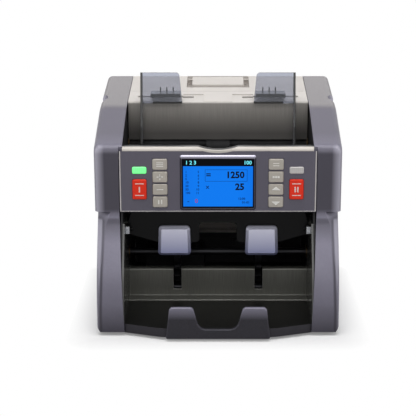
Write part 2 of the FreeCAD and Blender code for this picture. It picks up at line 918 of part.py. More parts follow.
def make_console_panel():
    face = prism("panel_face", "y", [
        ("-panel_half", "shelf_height"),
        ("panel_half", "shelf_height"),
        ("panel_half", "rim_height"),
        ("-panel_half", "rim_height"),
    ], "console_front", panel_back)
    sides = [(number(f"{sign} * panel_half"), number("console_front")) for sign in (-1, 1)]
    bevel(face, edges_along(face.Shape, "z", sides), "panel_bevel")
    shelf = block("panel_shelf", ("-rim_half", "rim_half"), ("console_front", f"{board_front} + board_sheet"),
                  ("shelf_height", "shelf_height + panel_sheet"))
    posts = []
    for index, across in enumerate((-1, 1)):
        spot = (f"{across} * (board_half - pin_boss)", f"{board_top} - pin_boss")
        posts.append(rod(f"board_post_{index}", "y", spot, "pin_radius", "console_front + panel_sheet / 2",
                         board_front))
    reach = ("console_front - tool_past", f"{panel_back} + tool_past")
    holes = []
    for spots, wide, tall, gap in (
        (key_spots, "key_wide", "key_tall", "fit_gap"),
        (start_spots, "start_wide", "start_tall", "fit_gap"),
        (lamp_spots, "lamp_wide", "lamp_tall", "0"),
    ):
        for name, spot in spots.items():
            halves = (f"{wide} / 2 + {gap}", f"{tall} / 2 + {gap}")
            holes.append(tile(f"{name}_hole", spot, *halves, "key_corner", *reach))
    holes.append(thumb_lobe("panel_thumb_cut", *reach))
    holes.append(tile("bezel_hole", bezel_middle, bezel_half_wide, bezel_half_tall, "bezel_side", *reach))
    return cut("panel", fuse("panel_solid", [face, shelf] + posts), holes)


node("console_panel", make_console_panel())


# The rim caps the panel and meets the hopper floor; a band of it follows the shallow dip for the thumbs.
def make_console_rim():
    bar = prism("rim_bar", "x", [
        ("console_front", "rim_height"),
        ("console_front", "brow_height"),
        ("console_front + rim_depth", "brow_height"),
        ("console_front + rim_depth", "rim_height"),
    ], "-rim_half", "rim_half", {1: "thumb_dip"})
    under = block("rim_under", ("-panel_half", "panel_half"), ("console_front", panel_back),
                  ("rim_height - thumb_dip - thumb_band", "rim_height"))
    band = common("rim_band", [thumb_lobe("rim_lobe", "console_front", panel_back), under])
    dip = rod("thumb_dip_tool", "y", thumb_centre, thumb_radius, "console_front - tool_past",
              "console_front + rim_depth + tool_past")
    return cut("rim", fuse("rim_solid", [bar, band]), [dip])


node("console_rim", make_console_rim())


def make_bezel():
    low = "console_front - bezel_rise"
    ring = tile("bezel_ring", bezel_middle, bezel_half_wide, bezel_half_tall, "bezel_side", low, panel_back)
    bevel(ring, edges_in_plane(ring.Shape, "y", number(low)), "bezel_bevel")
    view = tile("bezel_view", window_middle, "window_half", window_half_tall, "bezel_side / 2",
                f"{low} - tool_past", f"{panel_back} + tool_past")
    return cut("bezel", ring, [view])


node("display_bezel", make_bezel())
node("display_window", tile("window_glass", window_middle, "window_half", window_half_tall, "bezel_side / 2",
                            f"{panel_back} - glass_sheet", panel_back))
lamp_front = "console_front - lamp_rise"
for name, spot in lamp_spots.items():
    lens = tile(name, spot, "lamp_wide / 2", "lamp_tall / 2", "key_corner", lamp_front, panel_back)
    bevel(lens, edges_in_plane(lens.Shape, "y", number(lamp_front)), "key_edge")
    node(name, lens)


# The board carries the display cell and one switch block behind every key.
def make_control_board():
    middle = f"(shelf_height + panel_sheet + {board_top}) / 2"
    half_tall = f"({board_top} - shelf_height - panel_sheet) / 2"
    sheet_body = prism("board_sheet_body", "y", rectangle("0", middle, "board_half", half_tall), board_front,
                       f"{board_front} + board_sheet")
    cell = prism("display_cell", "y", rectangle(*window_middle, "window_half", window_half_tall), panel_back,
                 f"{board_front} + board_sheet / 2")
    switch_front = f"{panel_back} + shaft_gap + flange_sheet + key_travel + fit_gap"
    switches = [prism(f"{name}_switch", "y", rectangle(*spot, "key_tall / 4", "key_tall / 4"), switch_front,
                      f"{board_front} + board_sheet / 2")
                for name, spot in (key_spots | start_spots).items()]
    return fuse("board", [sheet_body, cell] + switches)


node("control_board", make_control_board())


# A key is a cap through the panel with a retaining flange behind it.
def make_key(name, spot, half_wide, half_tall):
    face = "console_front - key_rise"
    front = f"{panel_back} + shaft_gap"
    cap = tile(f"{name}_cap", spot, half_wide, half_tall, "key_corner", face, f"{front} + flange_sheet / 2")
    bevel(cap, edges_in_plane(cap.Shape, "y", number(face)), "key_edge")
    outline = rectangle(*spot, f"{half_wide} + key_flange", f"{half_tall} + key_flange")
    flange = prism(f"{name}_flange", "y", outline, front, f"{front} + flange_sheet")
    return fuse(name, [cap, flange])


for name, spot in key_spots.items():
    node(name, make_key(name, spot, "key_wide / 2", "key_tall / 2"))
for name, spot in start_spots.items():
    node(name, make_key(name, spot, "start_wide / 2", "start_tall / 2"))


# Hopper: sloping floor and back cover

def make_hopper_floor():
    start = ("floor_front", "rim_height")
    finish = ("floor_rear", floor_at("floor_rear"))
    plate = prism("floor_plate", "x", slab_corners(finish, start, "floor_sheet"), "-bay_half", "bay_half")
    apron = block("floor_apron", ("-rim_half", "rim_half"), (panel_back, "floor_front"),
                  ("rim_height - floor_sheet", "rim_height"))
    slots = []
    for sign in (-1, 1):
        ends = [f"{sign} * pickup_x {side} (pickup_wide / 2 + slot_gap)" for side in "-+"]
        slots.append(block(f"pickup_slot_{sign}", ends,
                           ("pickup_y - pickup_radius", "pickup_y + pickup_radius"),
                           (pickup_z, f"{pickup_z} + 3 * pickup_radius")))
    return cut("floor", fuse("floor_solid", [plate, apron]), slots)


node("hopper_floor", make_hopper_floor())
gear_radius = "(gear_teeth * gear_module / 2)"
rack_floor = f"(gear_height - {gear_radius} - gear_root * gear_module - rack_bar)"
gear_pin_end = "(wall_y + slot_gap)"


# Back cover: front wall, sloping top strip and the shelf that the lower rack slides on.
def make_back_cover():
    under = f"({top_at('parting_y')} - back_sheet)"
    wall_top = top_at("wall_y")
    groove_rear = "(post_y + groove_run)"
    bent = prism("back_bent", "x", [
        ("wall_y", "wall_low"),
        ("wall_y", wall_top),
        ("parting_y", top_at("parting_y")),
        ("parting_y", under),
        ("wall_y + back_sheet", f"{wall_top} - back_sheet"),
        ("wall_y + back_sheet", "wall_low"),
    ], "-door_half", "door_half", {1: "back_sheet - fit_gap"})
    shelf = block("rack_shelf", ("-door_half", "door_half"), ("wall_y + back_sheet / 2", groove_rear),
                  (f"{rack_floor} - fit_gap - back_sheet", f"{rack_floor} - fit_gap"))
    tools = [rod("gear_pin_bore", "y", ("0", "gear_height"), "pin_radius + shaft_gap",
                 f"{gear_pin_end} - fit_gap", "wall_y + back_sheet + tool_past")]
    slot_deep = ("post_y - post_sheet / 2 - slot_gap", "post_y + post_sheet / 2 + slot_gap")
    for sign in (-1, 1):
        ends = (f"{sign} * (post_in - guide_in - slot_gap)", f"{sign} * (post_out + guide_out + slot_gap)")
        tools.append(block(f"guide_slot_{sign}", sorted(ends, key=number), slot_deep,
                           ("gear_height", "rear_height")))
        ends = (f"{sign} * groove_in", f"{sign} * groove_out")
        tools.append(prism(f"finger_groove_{sign}", "x", [
            ("wall_y", f"{wall_top} - groove_depth"),
            ("wall_y", f"{wall_top} + tool_past"),
            (groove_rear, f"{top_at(groove_rear)} + tool_past"),
            (groove_rear, f"{top_at(groove_rear)} - groove_depth"),
        ], *sorted(ends, key=number)))
    return cut("back_cover", fuse("back_solid", [bent, shelf]), tools)


node("hopper_back_cover", make_back_cover())


# Note guides: two racks and a pinion move them apart by the same amount

gear_pitch = "(pi * gear_module)"


# Rack outline in the front view; up is 1 for teeth on top and -1 for teeth below.
def rack_corners(up):
    def level(height):
        return f"gear_height + {-up} * ({gear_radius} - ({height}))"
    root = level("-gear_root * gear_module")
    tip = level("gear_tip * gear_module")
    bottom = level("-gear_root * gear_module - rack_bar")
    half_root = f"({gear_pitch} * gear_share / 2 + gear_root * gear_module * tan(gear_flank))"
    half_tip = f"({gear_pitch} * gear_share / 2 - gear_tip * gear_module * tan(gear_flank))"
    first = -math.ceil(number("guide_out") / number(gear_pitch)) - 1
    last = math.ceil(number("guide_in") / number(gear_pitch))
    corners = [("post_out", bottom), ("-rack_tail", bottom), ("-rack_tail", root)]
    for place in range(first, last + 1):
        middle = f"{place} * {gear_pitch}"
        corners += [(f"{middle} - {half_root}", root), (f"{middle} - {half_tip}", tip),
                    (f"{middle} + {half_tip}", tip), (f"{middle} + {half_root}", root)]
    return corners + [("post_out", root)]


# One guide, drawn on the right-hand side, with its rack below (up = 1) or above the pinion.
def make_note_guide(name, up):
    base = f"({top_at('post_y + post_sheet')} + guide_lift)"
    back = "(wall_y - guide_clear)"
    front = f"({back} - guide_sheet)"
    side = prism(f"{name}_side", "x", [
        ("guide_front", f"{floor_at('guide_front')} + guide_lift"),
        (back, f"{floor_at('guide_front')} + guide_lift"),
        (back, "guide_top"),
        (front, "guide_top"),
    ], "guide_face", "guide_outer")
    plate = prism(f"{name}_plate", "y", [
        ("guide_edge_low", "crease_height + guide_hang"),
        ("guide_outer", "crease_height + guide_hang"),
        ("guide_outer", "guide_top"),
        ("guide_edge_high", "guide_top"),
    ], front, back, {3: "pad_corner"})
    foot = block(f"{name}_foot", ("guide_edge_low + guide_sheet", "post_out"), (front, "post_y + post_sheet"),
                 (base, f"{base} + guide_foot"))
    bar_low = rack_floor if up == 1 else f"(2 * gear_height - {rack_floor} - rack_bar)"
    post_deep = ("post_y - post_sheet / 2", "post_y + post_sheet / 2")
    post = block(f"{name}_post", ("post_in", "post_out"), post_deep, (bar_low, f"{base} + guide_foot / 2"))
    bracket = block(f"{name}_bracket", ("post_in", "post_out"), ("rack_y", "post_y"),
                    (bar_low, f"{bar_low} + rack_bar"))
    rack = prism(f"{name}_rack", "y", rack_corners(up), "rack_y", "rack_y + rack_wide")
    ribs = []
    for place in range(3):
        rib_low = f"rib_outer - {place} * rib_pitch"
        ribs.append(prism(f"{name}_rib_{place}", "x", [
            (f"{back} - guide_sheet / 2", base),
            ("post_y + post_sheet", base),
            (f"{back} - guide_sheet / 2", "guide_top - rib_drop"),
        ], rib_low, f"{rib_low} + guide_sheet / 2"))
    return fuse(name, [side, plate, foot, post, bracket, rack] + ribs)


node("right_note_guide", make_note_guide("right_guide", 1))
node("left_note_guide", mirror("left_guide", make_note_guide("left_guide_source", -1)))


# Pinion with straight-flanked teeth, on a pin that runs in the hopper's back wall.
def make_pinion():
    root = (f"({gear_radius} - gear_root * gear_module)", "pinion_root_share")
    tip = (f"({gear_radius} + gear_tip * gear_module)", "pinion_tip_share")
    corners = []
    for place in range(int(number("gear_teeth"))):
        middle = f"(pinion_start + {place + 0.5} * 360 / gear_teeth)"
        for (reach, share), side in ((root, -1), (tip, -1), (tip, 1), (root, 1)):
            half = f"({share} * {gear_pitch} * gear_share / 2 / {reach} * 180 / pi)"
            angle = f"({middle} + {side} * {half})"
            corners.append((f"{reach} * cos({angle})", f"gear_height + {reach} * sin({angle})"))
    teeth = prism("pinion_teeth", "y", corners, "rack_y", "rack_y + rack_wide")
    pin = rod("pinion_pin", "y", ("0", "gear_height"), "pin_radius", gear_pin_end, "rack_y + rack_wide")
    return fuse("pinion", [teeth, pin])


node("guide_pinion", make_pinion())


# Shafts, rollers, bushes, motor and belt

pulley_low = f"({frame_out} + pulley_gap)"
pulley_high = f"({pulley_low} + belt_wide + 2 * fit_gap + 2 * pulley_rim)"


# Half section of a shaft that ends in a flanged pulley.
def shaft_with_pulley(start, radius):
    flange = f"{radius} + flange_rise"
    return [
        (start, "0"),
        (pulley_high, "0"),
        (pulley_high, flange),
        (f"{pulley_high} - pulley_rim", flange),
        (f"{pulley_high} - pulley_rim", radius),
        (f"{pulley_low} + pulley_rim", radius),
        (f"{pulley_low} + pulley_rim", flange),
        (pulley_low, flange),
        (pulley_low, "shaft_radius"),
        (start, "shaft_radius"),
    ]


# Two rubber tyres on one shaft.
def make_rollers(name, axle, radius, middle, wide):
    pair = []
    for sign in (-1, 1):
        low = f"{sign} * {middle} - {wide} / 2"
        high = f"{sign} * {middle} + {wide} / 2"
        pair.append(turned(f"{name}_{sign + 1}", [
            (low, "shaft_radius"),
            (high, "shaft_radius"),
            (high, radius),
            (low, radius),
        ], axle))
    return group(name, pair)


shaft_left = f"-{frame_out}"
node("pickup_shaft", turned("pickup_axis", shaft_with_pulley(shaft_left, "pickup_pulley"), pickup_axle))
node("pickup_rollers", make_rollers("pickup_tyres", pickup_axle, "pickup_radius", "pickup_x", "pickup_wide"))
node("feed_shaft", turned("feed_axis", shaft_with_pulley(shaft_left, "feed_pulley"), feed_axle))
node("feed_rollers", make_rollers("feed_tyres", feed_axle, "feed_radius", "feed_x", "feed_wide"))
motor_shaft = shaft_with_pulley("bay_half - motor_shaft_in", "motor_pulley")
node("motor_pulley", turned("motor_axis", motor_shaft, motor_axle))
node("retard_roller", turned("retard_turning", [
    (shaft_left, "0"),
    (frame_out, "0"),
    (frame_out, "shaft_radius"),
    ("retard_half", "shaft_radius"),
    ("retard_half", "retard_radius"),
    ("-retard_half", "retard_radius"),
    ("-retard_half", "shaft_radius"),
    (shaft_left, "shaft_radius"),
], retard_axle))
node("stacker_shaft", turned("stacker_axis", [
    (shaft_left, "0"),
    (f"{frame_out} + stepper_long - stepper_end", "0"),
    (f"{frame_out} + stepper_long - stepper_end", "shaft_radius"),
    (shaft_left, "shaft_radius"),
], stacker_axle))


# Flanged bushes in both frames for every turning shaft.
def make_bushes():
    right = []
    inner = "shaft_radius + shaft_gap"
    for name, axle in (
        ("pickup", pickup_axle),
        ("feed", feed_axle),
        ("retard", retard_axle),
        ("stacker", stacker_axle),
    ):
        right.append(turned(f"{name}_bush", [
            ("bay_half - bush_flange", inner),
            (frame_out, inner),
            (frame_out, "shaft_radius + bush_wall"),
            ("bay_half", "shaft_radius + bush_wall"),
            ("bay_half", "shaft_radius + bush_wall + bush_flange"),
            ("bay_half - bush_flange", "shaft_radius + bush_wall + bush_flange"),
        ], axle))
    left = [mirror(f"left_{bush.Name}", bush) for bush in right]
    return group("bushes", right + left)


node("shaft_bushes", make_bushes())


# Feed motor: a round can with a stepped end bell, bolted to the right frame.
def make_feed_motor():
    start = "bay_half - motor_long"
    can = turned("motor_can", [
        (start, "0"),
        ("bay_half", "0"),
        ("bay_half", "motor_radius"),
        (f"{start} + bell_long", "motor_radius"),
        (f"{start} + bell_long", "bell_radius"),
        (start, "bell_radius"),
    ], motor_axle)
    bore = rod("motor_bore", "x", motor_axle, "shaft_radius + shaft_gap",
               "bay_half - motor_shaft_in - tool_past", "bay_half + tool_past")
    return cut("motor", can, [bore])


node("feed_motor", make_feed_motor())


def make_stacker_motor():
    outline = rectangle(*stacker_axle, "stepper_side / 2", "stepper_side / 2")
    can = prism("stepper_can", "x", outline, frame_out, f"{frame_out} + stepper_long",
                {(0, 1, 2, 3): "stepper_round"})
    bore = rod("stepper_bore", "x", stacker_axle, "shaft_radius + shaft_gap", f"{frame_out} - tool_past",
               f"{frame_out} + stepper_long - stepper_end + shaft_gap")
    return cut("stepper", can, [bore])


node("stacker_motor", make_stacker_motor())


# Closed loop round pulleys given as (y, z, radius), taken anticlockwise: tangent runs joined by arcs.
def belt_loop(pulleys, growth):
    x = number(f"{pulley_low} + pulley_rim + fit_gap")
    rounds = [(FreeCAD.Vector(x, y, z), radius + growth) for y, z, radius in pulleys]
    count = len(rounds)
    runs = []
    for index in range(count):
        (here, near), (there, far) = rounds[index], rounds[(index + 1) % count]
        heading = math.atan2(there.z - here.z, there.y - here.y)
        lean = heading - math.acos((near - far) / (there - here).Length)
        normal = FreeCAD.Vector(0, math.cos(lean), math.sin(lean))
        runs.append((here + normal * near, there + normal * far, lean))
    edges = []
    for index in range(count):
        start, finish, lean = runs[index]
        before = runs[index - 1]
        centre, radius = rounds[index]
        turn = (lean - before[2]) % (2 * math.pi)
        middle = before[2] + turn / 2
        crown = centre + FreeCAD.Vector(0, math.cos(middle), math.sin(middle)) * radius
        edges.append(Part.Arc(before[1], crown, start).toShape())
        edges.append(Part.LineSegment(start, finish).toShape())
    return Part.Face(Part.Wire(edges))


def make_belt():
    pulleys = [(number(axle[0]), number(axle[1]), number(radius)) for axle, radius in (
        (motor_axle, "motor_pulley"), (feed_axle, "feed_pulley"), (pickup_axle, "pickup_pulley"))]
    gap = number("fit_gap")
    ring = belt_loop(pulleys, gap + number("belt_sheet")).cut(belt_loop(pulleys, gap))
    belt = document.addObject("Part::Feature", "belt")
    belt.Shape = ring.extrude(FreeCAD.Vector(number("belt_wide"), 0, 0))
    return belt


node("feed_belt", make_belt())


# Stacker: finger wheels, back plate, pocket walls, hood and gate

# A point on a circle about the sketch's origin, as a pair of formulas.
def polar(radius, angle):
    return f"{radius} * cos({angle})", f"{radius} * sin({angle})"


# Adds an arc that bows away from the sketch's origin and holds its two ends and its radius.
def held_arc(sketch, start, finish, radius):
    begin = FreeCAD.Vector(number(start[0]), number(start[1]), 0)
    end = FreeCAD.Vector(number(finish[0]), number(finish[1]), 0)
    middle = (begin + end) / 2
    chord = end - begin
    across = FreeCAD.Vector(-chord.y, chord.x, 0).normalize()
    if across.dot(middle) > 0:
        across = -across
    size = number(radius)
    centre = middle + across * math.sqrt(size ** 2 - (chord.Length / 2) ** 2)
    angles = [math.atan2(spot.y - centre.y, spot.x - centre.x) for spot in (begin, end)]
    forward = (angles[1] - angles[0]) % (2 * math.pi) < math.pi
    low, high = angles if forward else reversed(angles)
    curve = Part.ArcOfCircle(Part.Circle(centre, FreeCAD.Vector(0, 0, 1), size), low, high)
    place = sketch.addGeometry(curve)
    ends = (1, 2) if forward else (2, 1)
    for end_point, formulas in zip(ends, (start, finish)):
        for kind, formula in zip(("DistanceX", "DistanceY"), formulas):
            held = sketch.addConstraint(Sketcher.Constraint(kind, -1, 1, place, end_point, number(formula)))
            tie(sketch, f"Constraints[{held}]", formula)
    held = sketch.addConstraint(Sketcher.Constraint("Radius", place, size))
    tie(sketch, f"Constraints[{held}]", radius)
    return place, ends


# A wheel of thin curved fingers that trail behind the way it turns.
def make_finger_wheel(name):
    body = turned(name, [
        ("-wheel_wide / 2", "shaft_radius"),
        ("wheel_wide / 2", "shaft_radius"),
        ("wheel_wide / 2", "wheel_hub"),
        ("-wheel_wide / 2", "wheel_hub"),
    ], stacker_axle)
    tie(body, "Placement.Base.x", "wheel_x")
    sketch = body.newObject("Sketcher::SketchObject", name + "_finger_sketch")
    sketch.AttachmentSupport = (origin_plane(body, "YZ_Plane"), [""])
    sketch.MapMode = "FlatFace"
    tie(sketch, "AttachmentOffset.Base.z", "-wheel_wide / 2")
    hub = "(wheel_hub - finger_bite)"
    tip = polar("wheel_radius", "-finger_sweep")
    tip_back = polar("wheel_radius", "-finger_sweep - finger_tip")
    lead, lead_ends = held_arc(sketch, polar(hub, "0"), tip, "finger_curve")
    trail, trail_ends = held_arc(sketch, polar(hub, "-finger_root"), tip_back, "finger_back_curve")
    for lead_end, trail_end in zip(lead_ends, trail_ends):
        points = [sketch.getPoint(lead, lead_end), sketch.getPoint(trail, trail_end)]
        line = sketch.addGeometry(Part.LineSegment(*points))
        sketch.addConstraint(Sketcher.Constraint("Coincident", line, 1, lead, lead_end))
        sketch.addConstraint(Sketcher.Constraint("Coincident", line, 2, trail, trail_end))
    finger = body.newObject("PartDesign::Pad", name + "_finger")
    finger.Profile = sketch
    tie(finger, "Length", "wheel_wide")
    document.recompute()
    ring = body.newObject("PartDesign::PolarPattern", name + "_fingers")
    ring.Originals = [finger]
    ring.Axis = (sketch, ["N_Axis"])
    ring.Angle = 360
    tie(ring, "Occurrences", "finger_count")
    body.Tip = ring
    document.recompute()
    return body


right_wheel = make_finger_wheel("right_finger_wheel")
node("stacker_wheels", group("finger_wheels", [right_wheel, mirror("left_finger_wheel", right_wheel)]))


# Back plate of the pocket: a foot along the floor, a flange at its top, and slots for the fingers.
def make_back_plate():
    face = prism("back_plate_face", "x", [
        ("plate_y - plate_foot", "pan_top"),
        ("plate_y - plate_foot", "pan_top + plate_step"),
        ("plate_y", "pan_top + plate_step"),
        ("plate_y", "plate_top"),
        ("plate_y + plate_flange", "plate_top"),
        ("plate_y + plate_flange", "plate_top - plate_sheet"),
        ("plate_y + plate_sheet", "plate_top - plate_sheet"),
        ("plate_y + plate_sheet", "pan_top"),
    ], f"-{pocket_half}", pocket_half, {3: "plate_sheet"})
    slots = []
    for sign in (-1, 1):
        ends = [f"{sign} * wheel_x {side} (wheel_wide / 2 + plate_slot_gap)" for side in "-+"]
        slots.append(block(f"finger_slot_{sign}", ends,
                           ("plate_y - tool_past", "plate_y + plate_flange + tool_past"),
                           ("plate_slot_low", "plate_top + tool_past")))
    return cut("back_plate", face, slots)


node("stacker_back_plate", make_back_plate())


# Pocket wall: lines the frame beside the notes; two eye holes for the note sensors.
def make_pocket_wall():
    inset = "(cover_wall + fit_gap)"
    plate = prism("pocket_liner", "x", [
        (f"arm_front + {inset}", "pan_top"),
        (f"arm_front + {inset}", "knee_height"),
        (f"neck_front + {inset}", "neck_height"),
        ("hood_y + 2 * pin_boss", "neck_height"),
        ("plate_y + plate_sheet", "plate_top"),
        ("plate_y + plate_sheet", "pan_top"),
    ], pocket_half, "bay_half", {1: f"knee_radius - {inset}"})
    reach = (f"{pocket_half} - tool_past", "bay_half + tool_past")
    holes = [rod("hood_pin_hole", "x", hood_axle, "pin_radius + shaft_gap", *reach)]
    for index in (0, 1):
        spot = ("eye_y", f"eye_z + {index} * eye_pitch")
        holes.append(rod(f"sensor_eye_{index}", "x", spot, "eye_radius", *reach))
    return cut("pocket_wall", plate, holes)


right_wall = node("right_pocket_wall", make_pocket_wall())
node("left_pocket_wall", mirror("left_wall_twin", right_wall))


# Corners of the right half followed by the same corners mirrored to the left.
def both_halves(right):
    return right + [(f"-({across})", up) for across, up in reversed(right)]


# Hood: a winged flap across the pocket, hung on two pins, that the pads are fixed to.
def make_hood():
    tip = f"({pocket_half} - hood_gap)"
    flap = prism("hood_flap", "y", both_halves([
        ("hood_notch", "hood_notch_top"),
        ("hood_notch", "hood_low"),
        ("wing_x", "hood_low"),
        ("wing_tip_x", "wing_tip_z"),
        (tip, "hood_axis - pin_boss"),
        (tip, "hood_axis + pin_boss"),
        ("wing_tip_x", "hood_top"),
    ]), "hood_y", "hood_y + hood_sheet", {(2, 11): "wing_round", (0, 1, 12, 13): "pad_corner"})
    pin = rod("hood_pin", "x", hood_axle, "pin_radius", "wing_tip_x", "bay_half")
    return fuse("hood", [flap, pin, mirror("left_hood_pin", pin)])


node("stacker_hood", make_hood())


# A pad is a rounded paddle, a little wider at its foot, with a bevel round its front.
def make_pad(name):
    front = "hood_y - pad_thick"
    pad = prism(name, "y", [
        ("pad_in - pad_flare", "pad_low"),
        ("pad_out + pad_flare", "pad_low"),
        ("pad_out", "pad_high"),
        ("pad_in", "pad_high"),
    ], front, "hood_y", {(0, 1, 2, 3): "pad_corner"})
    bevel(pad, edges_in_plane(pad.Shape, "y", number(front)), "pad_bevel")
    return pad


right_pad = make_pad("right_pad")
node("stacker_pads", group("pads", [right_pad, mirror("left_pad", right_pad)]))


# Front gate: a hollow U-shaped stop on the lip, with an ear each side of the thumb gap.
def make_gate():
    def outline(inset):
        return both_halves([
            ("gate_dip_half", f"gate_dip - {inset}"),
            (f"gate_ear_in + {inset}", f"gate_top - {inset}"),
            (f"gate_ear_out - {inset}", f"gate_top - {inset}"),
            (f"gate_half - {inset}", f"pan_bottom + {inset}"),
        ])
    dip_round = {(0, 7): "gate_dip_half / 2"}
    shell = prism("gate_shell", "y", outline("0"), "gate_front", "lip_front",
                  dip_round | {(1, 2, 5, 6): "pad_corner", (3, 4): "pad_corner / 2"})
    bevel(shell, edges_in_plane(shell.Shape, "y", number("gate_front")), "gate_edge")
    hollow = prism("gate_hollow", "y", outline("gate_wall"), "gate_front + gate_wall",
                   "lip_front + tool_past", dip_round | {(1, 2, 5, 6): "pad_corner / 2"})
    return cut("gate", shell, [hollow])


node("front_gate", make_gate())


# Note path: a fixed chute below, and a guide on the rear door above it

chute_exit = ("chute_exit_y", "chute_exit_z")
chute_mouth = ("chute_y", "chute_high")
rear_exit = ("(chute_exit_y + chute_gap)", "(chute_exit_z - chute_gap)")
rear_mouth = ("(chute_y + chute_gap)", "(chute_high - chute_gap)")
chute_front = slab_corners(chute_exit, chute_mouth, "chute_sheet")
chute_rear = slab_corners(rear_mouth, rear_exit, "chute_sheet")
node("chute_guide", group("chute", [
    prism("chute_front", "x", chute_front, "-bay_half", "bay_half"),
    prism("chute_rear", "x", chute_rear, "-bay_half", "bay_half"),
]))


# A point part of the way up the chute.
def chute_point(share):
    return (f"(chute_exit_y + {share} * (chute_y - chute_exit_y))",
            f"(chute_exit_z + {share} * (chute_high - chute_exit_z))")


lower_bar = slab_corners(chute_point("sensor_from"), chute_point("sensor_to"), "sensor_thick", "chute_sheet")
node("lower_image_sensor", prism("lower_sensor_bar", "x", lower_bar, "-sensor_half", "sensor_half"))

door_front = "(parting_y + door_gap)"


# Depth of the covers' rear face at a height z.
def rear_at(z):
    return f"(heel_y + ({z} - cover_bottom) * (rear_face - heel_y) / (rear_height - cover_bottom))"


door_low_y = rear_at("door_low")


# Depth of the rear door's inner face at a height z.
def door_inside(z):
    slope = f"((rear_face - {door_low_y}) / (rear_height - door_low - 2 * door_sheet))"
    return f"({door_low_y} - door_sheet + ({z} - door_low - door_sheet) * {slope})"


# Rear door: a shell bent over the top and down the back, with a finger well for the latch.
def make_rear_door():
    outer = prism("door_solid", "x", [
        (door_front, top_at(door_front)),
        ("rear_face", "rear_height"),
        (door_low_y, "door_low"),
        (f"{door_low_y} - door_depth", "door_low"),
        ("rear_face - door_depth", "rear_height - door_depth"),
        (door_front, f"{top_at(door_front)} - door_depth"),
    ], "-door_half", "door_half", {1: "rear_radius"})
    inner = prism("door_hollow", "x", [
        (f"{door_front} + door_sheet", f"{top_at(door_front)} - door_sheet"),
        ("rear_face - door_sheet", "rear_height - door_sheet"),
        (f"{door_low_y} - door_sheet", "door_low + door_sheet"),
        (f"{door_low_y} - door_depth - tool_past", "door_low + door_sheet"),
        ("rear_face - door_depth - tool_past", "rear_height - door_depth - tool_past"),
        (f"{door_front} + door_sheet", f"{top_at(door_front)} - door_depth - tool_past"),
    ], "-(door_half - door_sheet)", "door_half - door_sheet", {1: "rear_radius - door_sheet"})
    front, back = "latch_well_front", "(latch_rear + door_sheet)"

    # well outline, grown by the sheet for its outside and kept under the top face by drop
    def well(growth, drop):
        return [
            (f"{front} - {growth}", f"{top_at(front)} - latch_well_deep - {growth}"),
            (f"{front} - {growth}", f"{top_at(front)} + {drop}"),
            (f"{back} + {growth}", f"{top_at(back)} + {drop}"),
            (f"{back} + {growth}", f"{top_at(back)} - latch_well_deep - {growth}"),
        ]
    tub_half = "(latch_well_half + door_sheet)"
    tub = prism("latch_tub", "x", well("door_sheet", "-slot_gap"), f"-{tub_half}", tub_half)
    hollow = prism("latch_well", "x", well("0", "pin_boss"), "-latch_well_half", "latch_well_half")
    pin_hole = rod("latch_pin_hole", "x", latch_axle, "pin_radius / 2 + shaft_gap",
                   f"-{tub_half} - tool_past", f"{tub_half} + tool_past")
    pin = rod("door_pin", "x", door_axle, "pin_radius", "door_half - door_sheet", frame_out)
    shell = cut("door_shell", outer, [inner])
    solid = fuse("door_with_well", [shell, tub, pin, mirror("left_door_pin", pin)])
    return cut("door", solid, [hollow, pin_hole])


latch_axle = ("(latch_rear - pin_radius)", f"({top_at('(latch_rear - pin_radius)')} - latch_sheet)")
node("rear_door", make_rear_door())


# Latch paddle: its front edge is pulled up to free the door.
def make_latch():
    plate = prism("latch_plate", "x", [
        ("latch_front", f"{top_at('latch_front')} - latch_sheet * 2"),
        ("latch_front", f"{top_at('latch_front')} - fit_gap"),
        ("latch_rear", f"{top_at('latch_rear')} - fit_gap"),
        ("latch_rear", f"{top_at('latch_rear')} - latch_sheet - fit_gap"),
        ("latch_front + latch_sheet", f"{top_at('latch_front + latch_sheet')} - latch_sheet - fit_gap"),
        ("latch_front + latch_sheet", f"{top_at('latch_front')} - latch_sheet * 2"),
    ], "-latch_half", "latch_half", {1: "latch_sheet / 2"})
    pin = rod("latch_pin", "x", latch_axle, "pin_radius / 2", "-(latch_well_half + door_sheet / 2)",
              "latch_well_half + door_sheet / 2")
    return fuse("latch", [plate, pin])


node("door_latch", make_latch())


# Guide on the door: the rear half of the note path, on two cheeks fixed inside the door.
def make_door_guide():
    face = "(chute_y + chute_gap)"
    top = f"({feed_z} + door_guide_rise)"
    half = "(door_half - door_sheet)"
    plate = prism("door_guide_plate", "x", [
        (face, top),
        (face, "chute_high"),
        (f"{face} + chute_sheet", "chute_high"),
        (f"{face} + chute_sheet", top),
    ], f"-{half}", half)
    cheeks = []
    for sign in (-1, 1):
        ends = sorted((f"{sign} * {half}", f"{sign} * ({half} - chute_sheet)"), key=number)
        cheeks.append(prism(f"door_cheek_{sign + 1}", "x", [
            (face, top),
            (face, "chute_high"),
            (door_inside("(chute_high - door_depth)"), "chute_high - door_depth"),
            (door_inside(f"({top} + door_depth)"), f"{top} + door_depth"),
        ], *ends))
    return fuse("door_guide_solid", [plate] + cheeks)


node("door_guide", make_door_guide())
upper_face = "(chute_y + chute_gap + chute_sheet)"
upper_end = (upper_face, f"{feed_z} + door_guide_rise")
upper_bar = slab_corners(upper_end, (upper_face, "chute_high"), "sensor_thick")
node("upper_image_sensor", prism("upper_sensor_bar", "x", upper_bar, "-sensor_half", "sensor_half"))


# Rear panel with inlet, switch and ports

panel_rear = "(heel_y - cover_wall - frame_gap)"
panel_rear_in = f"({panel_rear} - pan_wall)"
inlet_spot = ("inlet_x", "inlet_z")
switch_spot = ("switch_x", "inlet_z")
port_spots = [(f"port_x - {place} * port_pitch", "inlet_z") for place in range(2)]
rocker_hole = ("rocker_half + 2 * fit_gap", "rocker_tall / 2 + 2 * fit_gap")
rocker_pin = "(pan_wall / 2 - fit_gap)"
rocker_axle = (f"({panel_rear} - pan_wall / 2)", "inlet_z")


